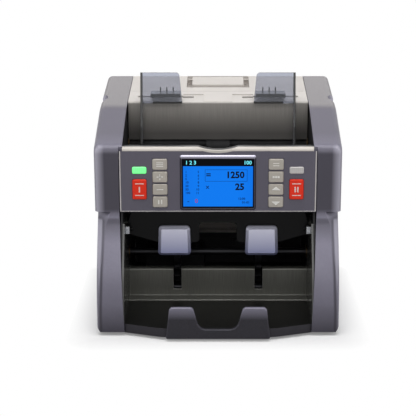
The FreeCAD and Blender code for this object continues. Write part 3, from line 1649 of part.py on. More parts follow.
def make_rear_panel():
    plate = prism("rear_plate", "y", [
        ("-door_half", "pan_top"),
        ("door_half", "pan_top"),
        ("door_half", "panel_rear_top"),
        ("-door_half", "panel_rear_top"),
    ], panel_rear_in, panel_rear)
    reach = (f"{panel_rear_in} - tool_past", f"{panel_rear} + tool_past")
    holes = [
        tile("inlet_hole", inlet_spot, "inlet_half", "inlet_tall / 2", "inlet_flange", *reach),
        prism("switch_hole", "y", rectangle(*switch_spot, *rocker_hole), *reach),
        rod("rocker_bore", "x", rocker_axle, f"{rocker_pin} + shaft_gap", "switch_x - 2 * rocker_half",
            "switch_x + 2 * rocker_half"),
    ]
    holes += [tile(f"port_hole_{index}", spot, "port_half", "port_tall / 2", "fit_gap", *reach)
              for index, spot in enumerate(port_spots)]
    return cut("rear_plate_cut", plate, holes)


node("rear_panel", make_rear_panel())


# Mains inlet: a flanged housing, open to the rear, with three flat pins inside.
def make_inlet():
    flange = tile("inlet_plate", inlet_spot, "inlet_half + inlet_flange", "inlet_tall / 2 + inlet_flange",
                  "inlet_flange", panel_rear, f"{panel_rear} + inlet_flange / 2")
    housing = tile("inlet_housing", inlet_spot, "inlet_half", "inlet_tall / 2", "inlet_flange",
                   f"{panel_rear} - inlet_tall", panel_rear)
    socket = tile("inlet_socket", inlet_spot, "inlet_half - inlet_flange / 2",
                  "inlet_tall / 2 - inlet_flange / 2", "inlet_flange",
                  f"{panel_rear} - inlet_tall + inlet_flange", f"{panel_rear} + inlet_flange")
    pins = []
    for place in (-1, 0, 1):
        spot = (f"inlet_x + {place} * inlet_half / 2", f"inlet_z + {1 - abs(place)} * inlet_flange")
        blade = rectangle(*spot, "blade_half", "blade_tall")
        pins.append(prism(f"inlet_pin_{place}", "y", blade, f"{panel_rear} - inlet_tall", panel_rear_in))
    return fuse("inlet", [cut("inlet_hollow", fuse("inlet_solid", [flange, housing]), [socket])] + pins)


node("power_inlet", make_inlet())


# Rocker: a shallow V face that leans to one side at rest, on a pin through the panel.
def make_rocker():
    half = "rocker_tall / 2"
    depth = "rocker_deep"
    rocker = prism("rocker", "x", [
        (f"-({depth})", f"-({half}) / 2"),
        (f"{depth}", f"-({half})"),
        (f"{depth} - rocker_dish", "0"),
        (f"{depth}", f"{half}"),
        (f"-({depth})", f"({half}) / 2"),
    ], "switch_x - rocker_half", "switch_x + rocker_half")
    pin = rod("rocker_pin", "x", ("0", "0"), rocker_pin, "switch_x - 1.5 * rocker_half",
              "switch_x + 1.5 * rocker_half")
    solid = fuse("rocker_solid", [rocker, pin])
    solid.Placement = FreeCAD.Placement(FreeCAD.Vector(), FreeCAD.Rotation(FreeCAD.Vector(1, 0, 0), 1))
    tie(solid, "Placement.Rotation.Angle", "rocker_tilt")
    tie(solid, "Placement.Base.y", rocker_axle[0])
    tie(solid, "Placement.Base.z", rocker_axle[1])
    return solid


node("power_switch", make_rocker())


def make_ports():
    sockets = []
    for index, spot in enumerate(port_spots):
        shell = tile(f"port_shell_{index}", spot, "port_half", "port_tall / 2", "fit_gap",
                     f"{panel_rear} - port_tall", f"{panel_rear} + fit_gap")
        mouth = tile(f"port_mouth_{index}", spot, "port_half - pan_wall / 2", "port_tall / 2 - pan_wall / 2",
                     "fit_gap", f"{panel_rear} - port_tall + pan_wall", f"{panel_rear} + tool_past")
        sockets.append(cut(f"port_{index}", shell, [mouth]))
    return group("ports", sockets)


node("port_sockets", make_ports())


# Main board on stand-offs outside the left frame, with its tall parts.
def make_main_board():
    outside = f"-({frame_out} + stand_off)"
    inside = f"{outside} - board_sheet"
    board = block("main_sheet", (inside, outside), ("main_board_front", "main_board_rear"),
                  ("main_board_low", "main_board_high"))
    corners = [(f"{y} {inward} stand_off", f"{z} {upward} stand_off")
               for y, inward in (("main_board_front", "+"), ("main_board_rear", "-"))
               for z, upward in (("main_board_low", "+"), ("main_board_high", "-"))]
    middle_sheet = f"{outside} - board_sheet / 2"
    posts = [rod(f"stand_off_{index}", "x", spot, "post_radius", middle_sheet, f"-{frame_out}")
             for index, spot in enumerate(corners)]
    middle = "(main_board_low + main_board_high) / 2"
    chips = []
    for place in (1, 2):
        spot = (f"main_board_front + {place} * 3 * stand_off", middle)
        chips.append(rod(f"capacitor_{place}", "x", spot, "stand_off", f"{inside} - stand_off", middle_sheet))
    chips.append(block("processor", (f"{inside} - stand_off / 2", middle_sheet),
                       ("main_board_rear - 7 * stand_off", "main_board_rear - 2 * stand_off"),
                       (f"{middle} - 2 * stand_off", f"{middle} + 3 * stand_off")))
    return fuse("main_board_solid", [board] + posts + chips)


node("main_board", make_main_board())


# Power supply: a sheet-metal can on the pan, with a row of vents.
def make_supply():
    rear = f"({panel_rear} - port_tall - stand_off / 2)"
    outline = rectangle("supply_x", "pan_top + supply_tall / 2", "supply_half", "supply_tall / 2")
    can = prism("supply_can", "y", outline, "supply_front", rear, {(2, 3): "pan_wall"})
    vents = []
    for place in range(-3, 4):
        ends = [f"supply_x + {place} * supply_half / 4 {side} vent_half" for side in "-+"]
        vents.append(block(f"supply_vent_{place}", ends,
                           ("supply_front + 2 * stand_off", f"{rear} - 2 * stand_off"),
                           ("pan_top + supply_tall - pan_wall", "pan_top + supply_tall + tool_past")))
    return cut("supply", can, vents)


node("power_supply", make_supply())


# Checks, then one file for each node

document.recompute()
for item in document.Objects:
    if "Invalid" in item.State or "Error" in item.State:
        raise RuntimeError(f"{item.Name} did not rebuild: {item.State}")
for label, piece in nodes.items():
    if piece.Shape.isNull() or not piece.Shape.isValid():
        raise RuntimeError(f"{label} is not a sound solid")

os.makedirs("parts", exist_ok=True)
for label, piece in nodes.items():
    piece.Shape.exportStep(f"parts/{label}.step")
print(f"{len(nodes)} nodes written")
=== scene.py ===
import math

import bpy
import numpy as np
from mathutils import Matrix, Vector


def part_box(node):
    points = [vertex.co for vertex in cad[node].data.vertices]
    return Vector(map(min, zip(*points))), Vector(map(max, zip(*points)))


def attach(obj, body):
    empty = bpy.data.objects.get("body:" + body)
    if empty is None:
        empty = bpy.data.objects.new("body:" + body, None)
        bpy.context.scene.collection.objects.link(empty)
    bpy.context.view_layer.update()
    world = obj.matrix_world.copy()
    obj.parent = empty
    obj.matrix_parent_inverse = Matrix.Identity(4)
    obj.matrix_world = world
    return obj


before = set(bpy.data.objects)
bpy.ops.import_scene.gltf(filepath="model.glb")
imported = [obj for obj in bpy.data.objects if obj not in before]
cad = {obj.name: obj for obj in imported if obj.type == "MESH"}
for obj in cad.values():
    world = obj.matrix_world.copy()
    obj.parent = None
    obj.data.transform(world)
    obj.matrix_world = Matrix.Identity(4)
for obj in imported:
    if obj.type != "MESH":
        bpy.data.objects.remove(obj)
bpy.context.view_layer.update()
mm = 0.001  # the frame is in metres, the pieces added here are written in mm


# an sRGB colour 0..255 as a linear one: the dark toe divided by 12.92, the rest shifted and raised to 2.4
def tone(red, green, blue, alpha=1.0):
    part = np.array([red, green, blue], float) / 255
    line = np.where(part <= 0.04045, part / 12.92, ((part + 0.055) / 1.055) ** 2.4)
    return (*line.tolist(), alpha)


# lowest and highest corner of a node at rest: its box in metres divided by a millimetre
def boxOf(node):
    return [np.array(corner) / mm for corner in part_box(node)]


# camera fitted to the picture: metres, degrees up from straight down, lens and film in mm, sideways shift
viewSpec = {"place": (0, -1.283, 0.454), "tilt": 75, "lens": 103.85, "film": 36, "slide": -0.024}
camera = bpy.data.objects.new("camera", bpy.data.cameras.new("camera"))
camera.location = viewSpec["place"]
camera.rotation_euler = (math.radians(viewSpec["tilt"]), 0, 0)
camera.data.lens = viewSpec["lens"]
camera.data.sensor_width = viewSpec["film"]
camera.data.shift_x = viewSpec["slide"]
bpy.context.scene.collection.objects.link(camera)
bpy.context.scene.camera = camera
bpy.context.scene.view_settings.view_transform = "Standard"

# soft boxes round the machine: place, height of the aim, width and height in metres, power in watts
lampSpec = {
    "overhead": {"place": (0, -0.35, 1.3), "aimZ": 0.15, "wide": 1.4, "tall": 0.8, "watts": 11.5},
    "front": {"place": (0, -1.7, 0.95), "aimZ": 0.12, "wide": 1.6, "tall": 0.8, "watts": 5.5},
    "leftSide": {"place": (-1.25, -0.35, 0.55), "aimZ": 0.12, "wide": 0.5, "tall": 1.1, "watts": 2.4},
    "rightSide": {"place": (1.25, -0.35, 0.55), "aimZ": 0.12, "wide": 0.5, "tall": 1.1, "watts": 2.4},
    "rear": {"place": (0, 1.3, 0.9), "aimZ": 0.15, "wide": 1.4, "tall": 0.7, "watts": 3.5},
}


# a flat lamp, turned so that its back looks along the line from its aim, over the middle, to its place
def makeLamp(name, place, aimZ, wide, tall, watts):
    lamp = bpy.data.lights.new(name, "AREA")
    lamp.shape = "RECTANGLE"
    lamp.size = wide
    lamp.size_y = tall
    lamp.energy = watts
    holder = bpy.data.objects.new(name, lamp)
    holder.location = place
    away = holder.location - Vector((0, 0, aimZ))
    holder.rotation_euler = away.to_track_quat("Z", "Y").to_euler()
    bpy.context.scene.collection.objects.link(holder)


for name, spec in lampSpec.items():
    makeLamp(name, **spec)
print("camera and lamps:", 1 + len(lampSpec))

# shared by all finishes: where most values of a noise lie, which of them make specks, how far a rounded
# normal leans on an edge and off it, and the rays that round it
shaderSpec = {"middle": (0.3, 0.7), "specks": (0.4, 0.7), "lean": (0.86, 0.998), "rays": 4}


# a small builder: each call adds shader nodes, sets or links their sockets and gives an output
class Shader:
    # an empty node tree, of a new material or one that is given
    def __init__(self, name, tree=None):
        if tree is None:
            self.material = bpy.data.materials.new(name)
            self.material.use_nodes = True
            tree = self.material.node_tree
        self.tree = tree
        tree.nodes.clear()

    # one node; an underscore in a socket's name stands for a space
    def add(self, kind, settings=None, **sockets):
        node = self.tree.nodes.new("ShaderNode" + kind)
        for key, value in (settings or {}).items():
            setattr(node, key, value)
        for key, value in sockets.items():
            self.put(node, key.replace("_", " "), value)
        return node

    # a socket by name or number: linked where the value is a node's output, set where it is a number
    def put(self, node, key, value):
        socket = node.inputs[int(key)] if key.isdigit() else node.inputs[key]
        if isinstance(value, bpy.types.NodeSocket):
            self.tree.links.new(value, socket)
        else:
            socket.default_value = value

    # the point on the piece, in metres
    def place(self):
        return self.add("TexCoord").outputs["Object"]

    # one coordinate of that point
    def axis(self, letter):
        return self.add("SeparateXYZ", Vector=self.place()).outputs[letter]

    # how far the point is from the plane through the origin: that coordinate without its sign
    def off(self, letter):
        return self.math("ABSOLUTE", self.axis(letter))

    # the normal of the face
    def normal(self):
        return self.add("NewGeometry").outputs["Normal"]

    # one coordinate of that normal
    def facing(self, letter):
        return self.add("SeparateXYZ", Vector=self.normal()).outputs[letter]

    # two values put together by one operation, such as their sum
    def math(self, operation, first, second=0.0):
        return self.add("Math", {"operation": operation}, **{"0": first, "1": second}).outputs[0]

    # product of all values
    def times(self, first, *others):
        for other in others:
            first = self.math("MULTIPLY", first, other)
        return first

    # largest of all values
    def largest(self, first, *others):
        for other in others:
            first = self.math("MAXIMUM", first, other)
        return first

    # straight ramp: a value from a to b gives c to d, held at its ends
    def span(self, value, a, b, c, d):
        node = self.add("MapRange", Value=value)
        for key, amount in zip(("From Min", "From Max", "To Min", "To Max"), (a, b, c, d)):
            self.put(node, key, amount)
        return node.outputs[0]

    # cloudy value 0..1 with so many features per metre, and so many times more along x, y and z
    def cloud(self, scale, detail=2.0, stretch=None):
        place = self.place()
        if stretch:
            place = self.add("Mapping", Vector=place, Scale=stretch).outputs[0]
        return self.add("TexNoise", Vector=place, Scale=scale, Detail=detail).outputs["Fac"]

    # the middle of a cloud stretched from low to high
    def spread(self, value, low=0.0, high=1.0):
        return self.span(value, *shaderSpec["middle"], low, high)

    # specks: the upper values of a fine cloud, up to a share
    def specks(self, scale, share):
        return self.span(self.cloud(scale, detail=1), *shaderSpec["specks"], 0, share)

    # wave 0..1 along one axis
    def wave(self, letter, scale):
        settings = {"wave_type": "BANDS", "bands_direction": letter}
        return self.add("TexWave", settings, Vector=self.place(), Scale=scale).outputs["Fac"]

    # colour between two others, sRGB triples or outputs, by a value 0..1: a colour mix's sockets 0, 6 and 7
    def blend(self, share, first, second):
        node = self.add("Mix", {"data_type": "RGBA"})
        for key, value in (("0", share), ("6", first), ("7", second)):
            self.put(node, key, tone(*value) if isinstance(value, tuple) else value)
        return node.outputs[2]

    # normal rounded over near edges
    def soften(self, radius):
        return self.add("Bevel", {"samples": shaderSpec["rays"]}, Radius=radius).outputs[0]

    # that normal, and a value that is 1 on edges: a ramp of its dot product with the face's own normal
    def edges(self, radius):
        soft = self.soften(radius)
        dot = self.add("VectorMath", {"operation": "DOT_PRODUCT"}, **{"0": soft, "1": self.normal()})
        return soft, self.span(dot.outputs["Value"], *shaderSpec["lean"], 1, 0)

    # normal tilted by the slope of a height, over an earlier normal where there is one
    def bump(self, height, depth, strength, under=None):
        node = self.add("Bump", Height=height, Distance=depth, Strength=strength)
        if under:
            self.put(node, "Normal", under)
        return node.outputs[0]

    # the light path, and 1 for rays that show the background: from the camera, off gloss or through glass
    def rays(self):
        path = self.add("LightPath").outputs
        seen = self.largest(path["Is Camera Ray"], path["Is Transmission Ray"], path["Is Glossy Ray"])
        return path, seen

    # principled shader with these sockets on the material's output
    def surface(self, **sockets):
        shader = self.add("BsdfPrincipled", **sockets)
        self.add("OutputMaterial", Surface=shader.outputs[0])
        return self.material


# strength of the world as light, and as the white that is seen
worldSpec = {"color": tone(255, 255, 255), "light": 0.16, "white": 1.0}


# white to rays that show the background, a plain dim grey to the rest
def makeWorld():
    world = bpy.data.worlds.new("studio")
    world.use_nodes = True
    s = Shader("studio", world.node_tree)
    seen = s.rays()[1]
    light = s.add("Background", Color=worldSpec["color"], Strength=worldSpec["light"])
    white = s.add("Background", Color=worldSpec["color"], Strength=worldSpec["white"])
    mix = s.add("MixShader", **{"0": seen, "1": light.outputs[0], "2": white.outputs[0]})
    s.add("OutputWorld", Surface=mix.outputs[0])
    bpy.context.scene.world = world


makeWorld()

# what moulded plastic, rubber and paint have where a finish names nothing else: features per metre,
# shares 0..1, depths and radii in metres
mouldedBase = {
    "cloudScale": 26, "speckScale": 1500, "speck": 0.12, "grainScale": 1100, "grainDepth": 0.00004,
    "grainLift": 0.25, "edgeRadius": 0.0005, "edgeShare": 0.25, "metal": 0.0, "shine": 0.5, "coat": 0.0,
    "coatRough": 0.2, "roughLess": 0.05, "roughMore": 0.07}


# satin moulding: colour clouds, flecks, grain in bump and roughness, edges in another colour that is rubbed
# wear together with a painted highlight where that colour is paler and painted shade where it is darker,
# and where a finish has them a colour low down, one behind a depth and one on the faces that look up, each
# by a ramp; on the pads the colour low down is painted shade, and on the pan the colour on faces that look
# up is painted shade
def moulded(name, look):
    look = {**mouldedBase, "fleck": look["color"], **look}
    look = {"edge": look["fleck"], **look}
    s = Shader(name)
    color = s.blend(s.spread(s.cloud(look["cloudScale"], detail=3)), look["color"], look["shade"])
    color = s.blend(s.specks(look["speckScale"], look["speck"]), color, look["fleck"])
    # colour low down: on the pads, painted shade that is darker towards the bottom
    if "low" in look:
        color = s.blend(s.span(s.axis("Z"), *look["lowZ"], 1, 0), color, look["low"])
    if "back" in look:
        color = s.blend(s.span(s.axis("Y"), *look["backY"], 0, 1), color, look["back"])
    # colour on faces that look up: on the pan, painted shade on its floor
    if "top" in look:
        color = s.blend(s.span(s.facing("Z"), *look["topFacing"], 0, 1), color, look["top"])
    # edges: rubbed wear plus painted edge light, a highlight where the edge colour is paler and shade where
    # it is darker
    soft, edgeWearAndLight = s.edges(look["edgeRadius"])
    color = s.blend(s.times(edgeWearAndLight, look["edgeShare"]), color, look["edge"])
    grain = s.cloud(look["grainScale"])
    return s.surface(
        Base_Color=color, Metallic=look["metal"], Specular_IOR_Level=look["shine"],
        Roughness=s.spread(grain, look["rough"] - look["roughLess"], look["rough"] + look["roughMore"]),
        Coat_Weight=look["coat"], Coat_Roughness=look["coatRough"],
        Normal=s.bump(grain, look["grainDepth"], look["grainLift"], soft))


# what sheet metal has where a finish names nothing else; its lines are so many times finer across than
# along
brushedBase = {
    "along": "x", "fine": 60, "lineScale": 40, "lineDepth": 0.00003, "lineLift": 0.2,
    "edgeRadius": 0.0004, "edgeShare": 0.3, "stainScale": 30, "stainRange": (0.35, 0.65), "stain": 0.15,
    "roughLess": 0.08, "roughMore": 0.1}


# sheet metal: lines along one axis in colour, roughness and bump, faint stains, a painted highlight on its
# edges, and where a finish has it another colour under a height, by a ramp, which on the bezel is painted
# shade
def brushed(name, look):
    look = {**brushedBase, "edge": look["color"], **look}
    s = Shader(name)
    stretch = [1 if letter == look["along"] else look["fine"] for letter in "xyz"]
    lines = s.cloud(look["lineScale"], detail=3, stretch=stretch)
    color = s.blend(s.spread(lines), look["color"], look["shade"])
    stain = s.span(s.cloud(look["stainScale"]), *look["stainRange"], 0, look["stain"])
    color = s.blend(stain, color, look["shade"])
    # painted highlight on the edges
    soft, bright = s.edges(look["edgeRadius"])
    color = s.blend(s.times(bright, look["edgeShare"]), color, look["edge"])
    # colour under a height: painted shade on the bezel below its top edge
    if "under" in look:
        color = s.blend(s.span(s.axis("Z"), *look["underZ"], 1, 0), color, look["under"])
    return s.surface(
        Base_Color=color, Metallic=look["metal"],
        Roughness=s.spread(lines, look["rough"] - look["roughLess"], look["rough"] + look["roughMore"]),
        Normal=s.bump(lines, look["lineDepth"], look["lineLift"], soft))


# side covers: the paint's own colours and the colours of painted shade and highlight, shares, ramps in
# metres along x, y and z, and ramps of the normal
coverLook = {
    "color": (129, 126, 142), "shade": (121, 118, 134), "cloudScale": 26,
    "fleck": (166, 163, 180), "speckScale": 1900, "speck": 0.3,
    "slope": (104, 101, 113), "slopeFacing": (0.25, 0.6), "slopeZ": (0.19, 0.204), "slopeShare": 0.9,
    "warm": (92, 86, 89), "warmY": (0.0, 0.012), "aheadFacing": (-0.8, -0.45), "paintedShade": (54, 51, 61),
    "consoleFoot": (0.118, 0.128), "consoleBrow": (0.187, 0.197), "consoleShare": 0.85,
    "toeZ": (0.004, 0.034), "toeShare": 0.5, "shinZ": (0.03, 0.09), "shinShare": 0.35,
    "shelfZ": (0.094, 0.114), "shelfEnd": (0.117, 0.12), "shelfShare": 0.65,
    "lit": (190, 187, 202), "litX": (0.118, 0.127), "litZ": (0.119, 0.123), "litShare": 0.9,
    "armTop": (0.115, 0.117), "creaseZ": (0.024, 0.101), "creaseX": (0.1222, 0.12),
    "creaseHalf": (0.0003, 0.0022), "creaseShare": 0.85,
    "ridgeOut": (0.0008, 0.0024), "ridgeZ": (0.045, 0.085), "ridgeShare": 0.85,
    "edgeRadius": 0.0006, "edgeShare": 0.2, "grainScale": 1100, "grainDepth": 0.00004, "grainLift": 0.25,
    "metal": 0.1, "shine": 0.3, "rough": (0.31, 0.43), "coat": 0.12, "coatRough": 0.16}


# cover paint: flecks over a cloudy grey, with painted light and shade: painted shade a step darker where a
# face looks up above the console, with a warm painted light there further back. On faces that look ahead:
# painted shade on the console, at the arms' feet and under the shelf, and a painted highlight at the
# console's outer edge; on the arms the painted shade of a crease, whose x is a ramp of z, and a painted
# highlight on a ridge outside it; edges paler by rubbed wear and a painted highlight
def coverPaint(name, look):
    s = Shader(name)
    up, out = s.axis("Z"), s.off("X")
    color = s.blend(s.spread(s.cloud(look["cloudScale"], detail=3)), look["color"], look["shade"])
    color = s.blend(s.specks(look["speckScale"], look["speck"]), color, look["fleck"])
    # painted shade and a warm painted light on faces that look up above the console
    slope = s.span(s.facing("Z"), *look["slopeFacing"], 0, look["slopeShare"])
    slope = s.times(slope, s.span(up, *look["slopeZ"], 0, 1))
    color = s.blend(slope, color, look["slope"])
    color = s.blend(s.times(slope, s.span(s.axis("Y"), *look["warmY"], 0, 1)), color, look["warm"])
    # painted shade on faces that look ahead: on the console, at the arms' feet and under the shelf
    ahead = s.span(s.facing("Y"), *look["aheadFacing"], 1, 0)
    console = s.span(up, *look["consoleFoot"], 0, look["consoleShare"])
    console = s.times(console, s.span(up, *look["consoleBrow"], 1, 0))
    toe, shin = (s.span(up, *look[part + "Z"], look[part + "Share"], 0) for part in ("toe", "shin"))
    shelf = s.span(up, *look["shelfZ"], 0, look["shelfShare"])
    shelf = s.times(shelf, s.span(up, *look["shelfEnd"], 1, 0))
    paintedShade = s.largest(console, s.math("ADD", toe, shin), shelf)
    color = s.blend(s.times(ahead, paintedShade), color, look["paintedShade"])
    # painted highlight at the console's outer edge
    lit = s.times(s.span(out, *look["litX"], 0, look["litShare"]), s.span(up, *look["litZ"], 0, 1))
    color = s.blend(s.times(ahead, lit), color, look["lit"])
    # on the arms: the painted shade of a crease, and a painted highlight on a ridge outside it
    arm = s.times(ahead, s.span(up, *look["armTop"], 1, 0))
    past = s.math("SUBTRACT", out, s.span(up, *look["creaseZ"], *look["creaseX"]))
    crease = s.span(s.math("ABSOLUTE", past), *look["creaseHalf"], look["creaseShare"], 0)
    color = s.blend(s.times(arm, crease), color, look["paintedShade"])
    ridge = s.span(past, *look["ridgeOut"], 0, look["ridgeShare"])
    ridge = s.times(ridge, s.span(up, *look["ridgeZ"], 0, 1))
    color = s.blend(s.times(arm, ridge), color, look["lit"])
    # edges: rubbed wear and a painted highlight
    soft, edgeWearAndLight = s.edges(look["edgeRadius"])
    color = s.blend(s.times(edgeWearAndLight, look["edgeShare"]), color, look["fleck"])
    grain = s.cloud(look["grainScale"])
    return s.surface(
        Base_Color=color, Metallic=look["metal"], Specular_IOR_Level=look["shine"],
        Roughness=s.spread(grain, *look["rough"]), Coat_Weight=look["coat"],
        Coat_Roughness=look["coatRough"],
        Normal=s.bump(grain, look["grainDepth"], look["grainLift"], soft))


# cover screws: middles of the heads as y, z in mm, and the slot's half width and reach in mm
screwLook = {
    "color": (150, 150, 154), "shade": (122, 122, 128), "lineScale": 45, "stretch": (60, 60, 1),
    "middles": ((-78, 36), (100, 36), (88, 208)), "slot": (12, 12, 13), "slotHalf": 0.38, "slotReach": 2.1,
    "slotDepth": 0.0006, "slotLift": 0.8, "metal": 0.9, "rough": (0.3, 0.45)}


# screw heads: brushed steel with a dark cross, which is where the smaller of |y| and |z| from a head's
# middle is under half a slot and the larger is under the slot's reach
def crossHead(name, look):
    s = Shader(name)
    lines = s.cloud(look["lineScale"], detail=3, stretch=look["stretch"])
    color = s.blend(s.spread(lines), look["color"], look["shade"])
    cross = 0.0
    for middle in look["middles"]:
        fromY, fromZ = (s.math("ABSOLUTE", s.math("SUBTRACT", s.axis(letter), value * mm))
                        for letter, value in zip("YZ", middle))
        thin = s.math("LESS_THAN", s.math("MINIMUM", fromY, fromZ), look["slotHalf"] * mm)
        near = s.math("LESS_THAN", s.math("MAXIMUM", fromY, fromZ), look["slotReach"] * mm)
        cross = s.largest(s.times(thin, near), cross)
    return s.surface(
        Base_Color=s.blend(cross, color, look["slot"]), Metallic=look["metal"],
        Roughness=s.spread(lines, *look["rough"]),
        Normal=s.bump(s.math("SUBTRACT", 1.0, cross), look["slotDepth"], look["slotLift"]))


# circuit boards: tracks and pads per metre, widths as shares of a cell
boardLook = {
    "color": (18, 74, 44), "track": (46, 118, 74), "trackScale": 160, "trackWide": 0.03, "trackShare": 0.6,
    "trackDepth": 0.00005, "trackLift": 0.3, "pad": (190, 168, 96), "padScale": 220,
    "padEdge": (0.08, 0.12), "padShare": 0.8, "rough": 0.35, "coat": 0.4}


# circuit board: green mask with paler tracks on a square lattice, and pads near the points of a scatter
def boardGreen(name, look):
    s = Shader(name)
    tracks = s.add("TexBrick", Vector=s.place(), Scale=look["trackScale"], Mortar_Size=look["trackWide"])
    tracks = tracks.outputs["Fac"]
    pads = s.add("TexVoronoi", Vector=s.place(), Scale=look["padScale"]).outputs["Distance"]
    color = s.blend(s.span(tracks, 0, 1, 0, look["trackShare"]), look["color"], look["track"])
    color = s.blend(s.span(pads, *look["padEdge"], look["padShare"], 0), color, look["pad"])
    return s.surface(
        Base_Color=color, Roughness=look["rough"], Coat_Weight=look["coat"],
        Normal=s.bump(tracks, look["trackDepth"], look["trackLift"]))


# back cover of the hopper: ramps in metres along y and z, roughness of the cream and of the wall
hopperLook = {
    "color": (203, 197, 191), "shade": (196, 190, 185), "cloudScale": 22, "wall": (150, 146, 140),
    "wallY": (0.0219, 0.0226), "wallLow": (34, 34, 33), "wallZ": (0.19, 0.224), "streakScale": 35,
    "stretch": (30, 30, 1), "streak": 0.2, "edgeRadius": 0.0005, "grainScale": 1300, "grainDepth": 0.00003,
    "grainLift": 0.2, "rough": (0.42, 0.22)}


# cream behind the wall's face, and on it a glossy grey that a ramp of z turns near black as painted shade
# towards the bottom, with streaks
def hopperShell(name, look):
    s = Shader(name)
    wall = s.span(s.axis("Y"), *look["wallY"], 1, 0)
    # painted shade: the wall darker towards the bottom
    dark = s.blend(s.span(s.axis("Z"), *look["wallZ"], 1, 0), look["wall"], look["wallLow"])
    streak = s.spread(s.cloud(look["streakScale"], stretch=look["stretch"]), 0, look["streak"])
    dark = s.blend(streak, dark, look["wallLow"])
    pale = s.blend(s.spread(s.cloud(look["cloudScale"], detail=3)), look["color"], look["shade"])
    grain = s.cloud(look["grainScale"])
    return s.surface(
        Base_Color=s.blend(wall, pale, dark), Roughness=s.span(wall, 0, 1, *look["rough"]),
        Normal=s.bump(grain, look["grainDepth"], look["grainLift"], s.soften(look["edgeRadius"])))


# display window: ramps in metres for the title bar, the rim and the fall-off at the sides
displayLook = {
    "color": (10, 124, 244), "shade": (6, 104, 226), "off": (4, 5, 8), "barZ": (0.1737, 0.1739),
    "rimX": (0.0361, 0.0365), "rimZ": (0.1304, 0.1308), "fadeX": (0.02, 0.038), "fade": 0.3,
    "lineScale": 420, "line": 0.12, "glow": 0.98, "grainScale": 900, "rough": (0.4, 0.5), "shine": 0.04}


# lit blue display: dark where any of bar, side rim and foot rim is, else blue with fine picture lines
def displayGlass(name, look):
    s = Shader(name)
    up, out = s.axis("Z"), s.off("X")
    mask = s.largest(s.span(up, *look["barZ"], 0, 1), s.span(out, *look["rimX"], 0, 1),
                     s.span(up, *look["rimZ"], 1, 0))
    blue = s.blend(s.span(out, *look["fadeX"], 0, look["fade"]), look["color"], look["shade"])
    blue = s.blend(s.span(s.wave("Z", look["lineScale"]), 0, 1, 0, look["line"]), blue, look["shade"])
    return s.surface(
        Base_Color=tone(*look["off"]), Emission_Color=s.blend(mask, blue, look["off"]),
        Emission_Strength=look["glow"], Roughness=s.spread(s.cloud(look["grainScale"]), *look["rough"]),
        Specular_IOR_Level=look["shine"])


# what the lamps and the glowing inks have in common
lensBase = {
    "rib": 0.3, "ribDepth": 0.0001, "ribLift": 0.3, "edgeRadius": 0.0006, "edgeShare": 0.5, "rough": 0.25,
    "coat": 0.3}


# moulded lens: ribs as a wave along x in colour and bump, another colour on its edges
def lampLens(name, look):
    look = {**lensBase, **look}
    s = Shader(name)
    ribs = s.wave("X", look["ribs"])
    color = s.blend(s.span(ribs, 0, 1, 0, look["rib"]), look["color"], look["shade"])
    soft, rim = s.edges(look["edgeRadius"])
    color = s.blend(s.times(rim, look["edgeShare"]), color, look["edge"])
    return s.surface(
        Base_Color=color, Emission_Color=color, Emission_Strength=look["glow"], Roughness=look["rough"],
        Coat_Weight=look["coat"], Normal=s.bump(ribs, look["ribDepth"], look["ribLift"], soft))


# guides: ramps in metres where the clear plate turns into black side plates, ribs and lower edge
smokeLook = {
    "color": (190, 194, 207), "shade": (184, 188, 201), "streakScale": 18, "stretch": (1, 1, 8),
    "edge": (132, 136, 146), "edgeRadius": 0.0006, "edgeShare": 0.4, "dark": (9, 9, 11),
    "sideX": (0.0824, 0.0828), "ribY": (0.0217, 0.0221), "footZ": (0.2258, 0.2261),
    "footX": (0.0715, 0.0719), "rough": (0.0, 0.02), "clear": 0.87, "bend": 1.46}


# smoke-tinted clear plastic, black where a point is far out in x, far back in y, or low in z and not far
# out, which is the largest of three ramps
def smokeClear(name, look):
    s = Shader(name)
    out = s.off("X")
    streak = s.cloud(look["streakScale"], detail=3, stretch=look["stretch"])
    color = s.blend(s.spread(streak), look["color"], look["shade"])
    foot = s.times(s.span(s.axis("Z"), *look["footZ"], 1, 0), s.span(out, *look["footX"], 1, 0))
    dark = s.largest(foot, s.span(out, *look["sideX"], 0, 1), s.span(s.axis("Y"), *look["ribY"], 0, 1))
    soft, edge = s.edges(look["edgeRadius"])
    color = s.blend(s.times(edge, look["edgeShare"]), color, look["edge"])
    return s.surface(
        Base_Color=s.blend(dark, color, look["dark"]), Roughness=s.spread(streak, *look["rough"]),
        Transmission_Weight=s.span(dark, 0, 1, look["clear"], 0.0), IOR=look["bend"], Normal=soft)


# front gate: ramps in metres where painted light turns the paint paler towards the ears and where the paint
# ends
gateLook = {
    "color": (45, 43, 49), "shade": (40, 39, 44), "cloudScale": 26, "upper": (150, 147, 164),
    "upperZ": (0.024, 0.037), "upperShare": 0.8, "fleck": (128, 126, 142), "speckScale": 1900,
    "speck": 0.1, "edgeRadius": 0.0006, "edgeShare": 0.6, "black": (24, 24, 26),
    "paintY": (-0.1196, -0.1194), "metal": 0.1, "grainScale": 1100, "grainDepth": 0.00004,
    "grainLift": 0.25, "rough": (0.38, 0.5), "shine": 0.2, "coat": 0.04, "coatRough": 0.2}


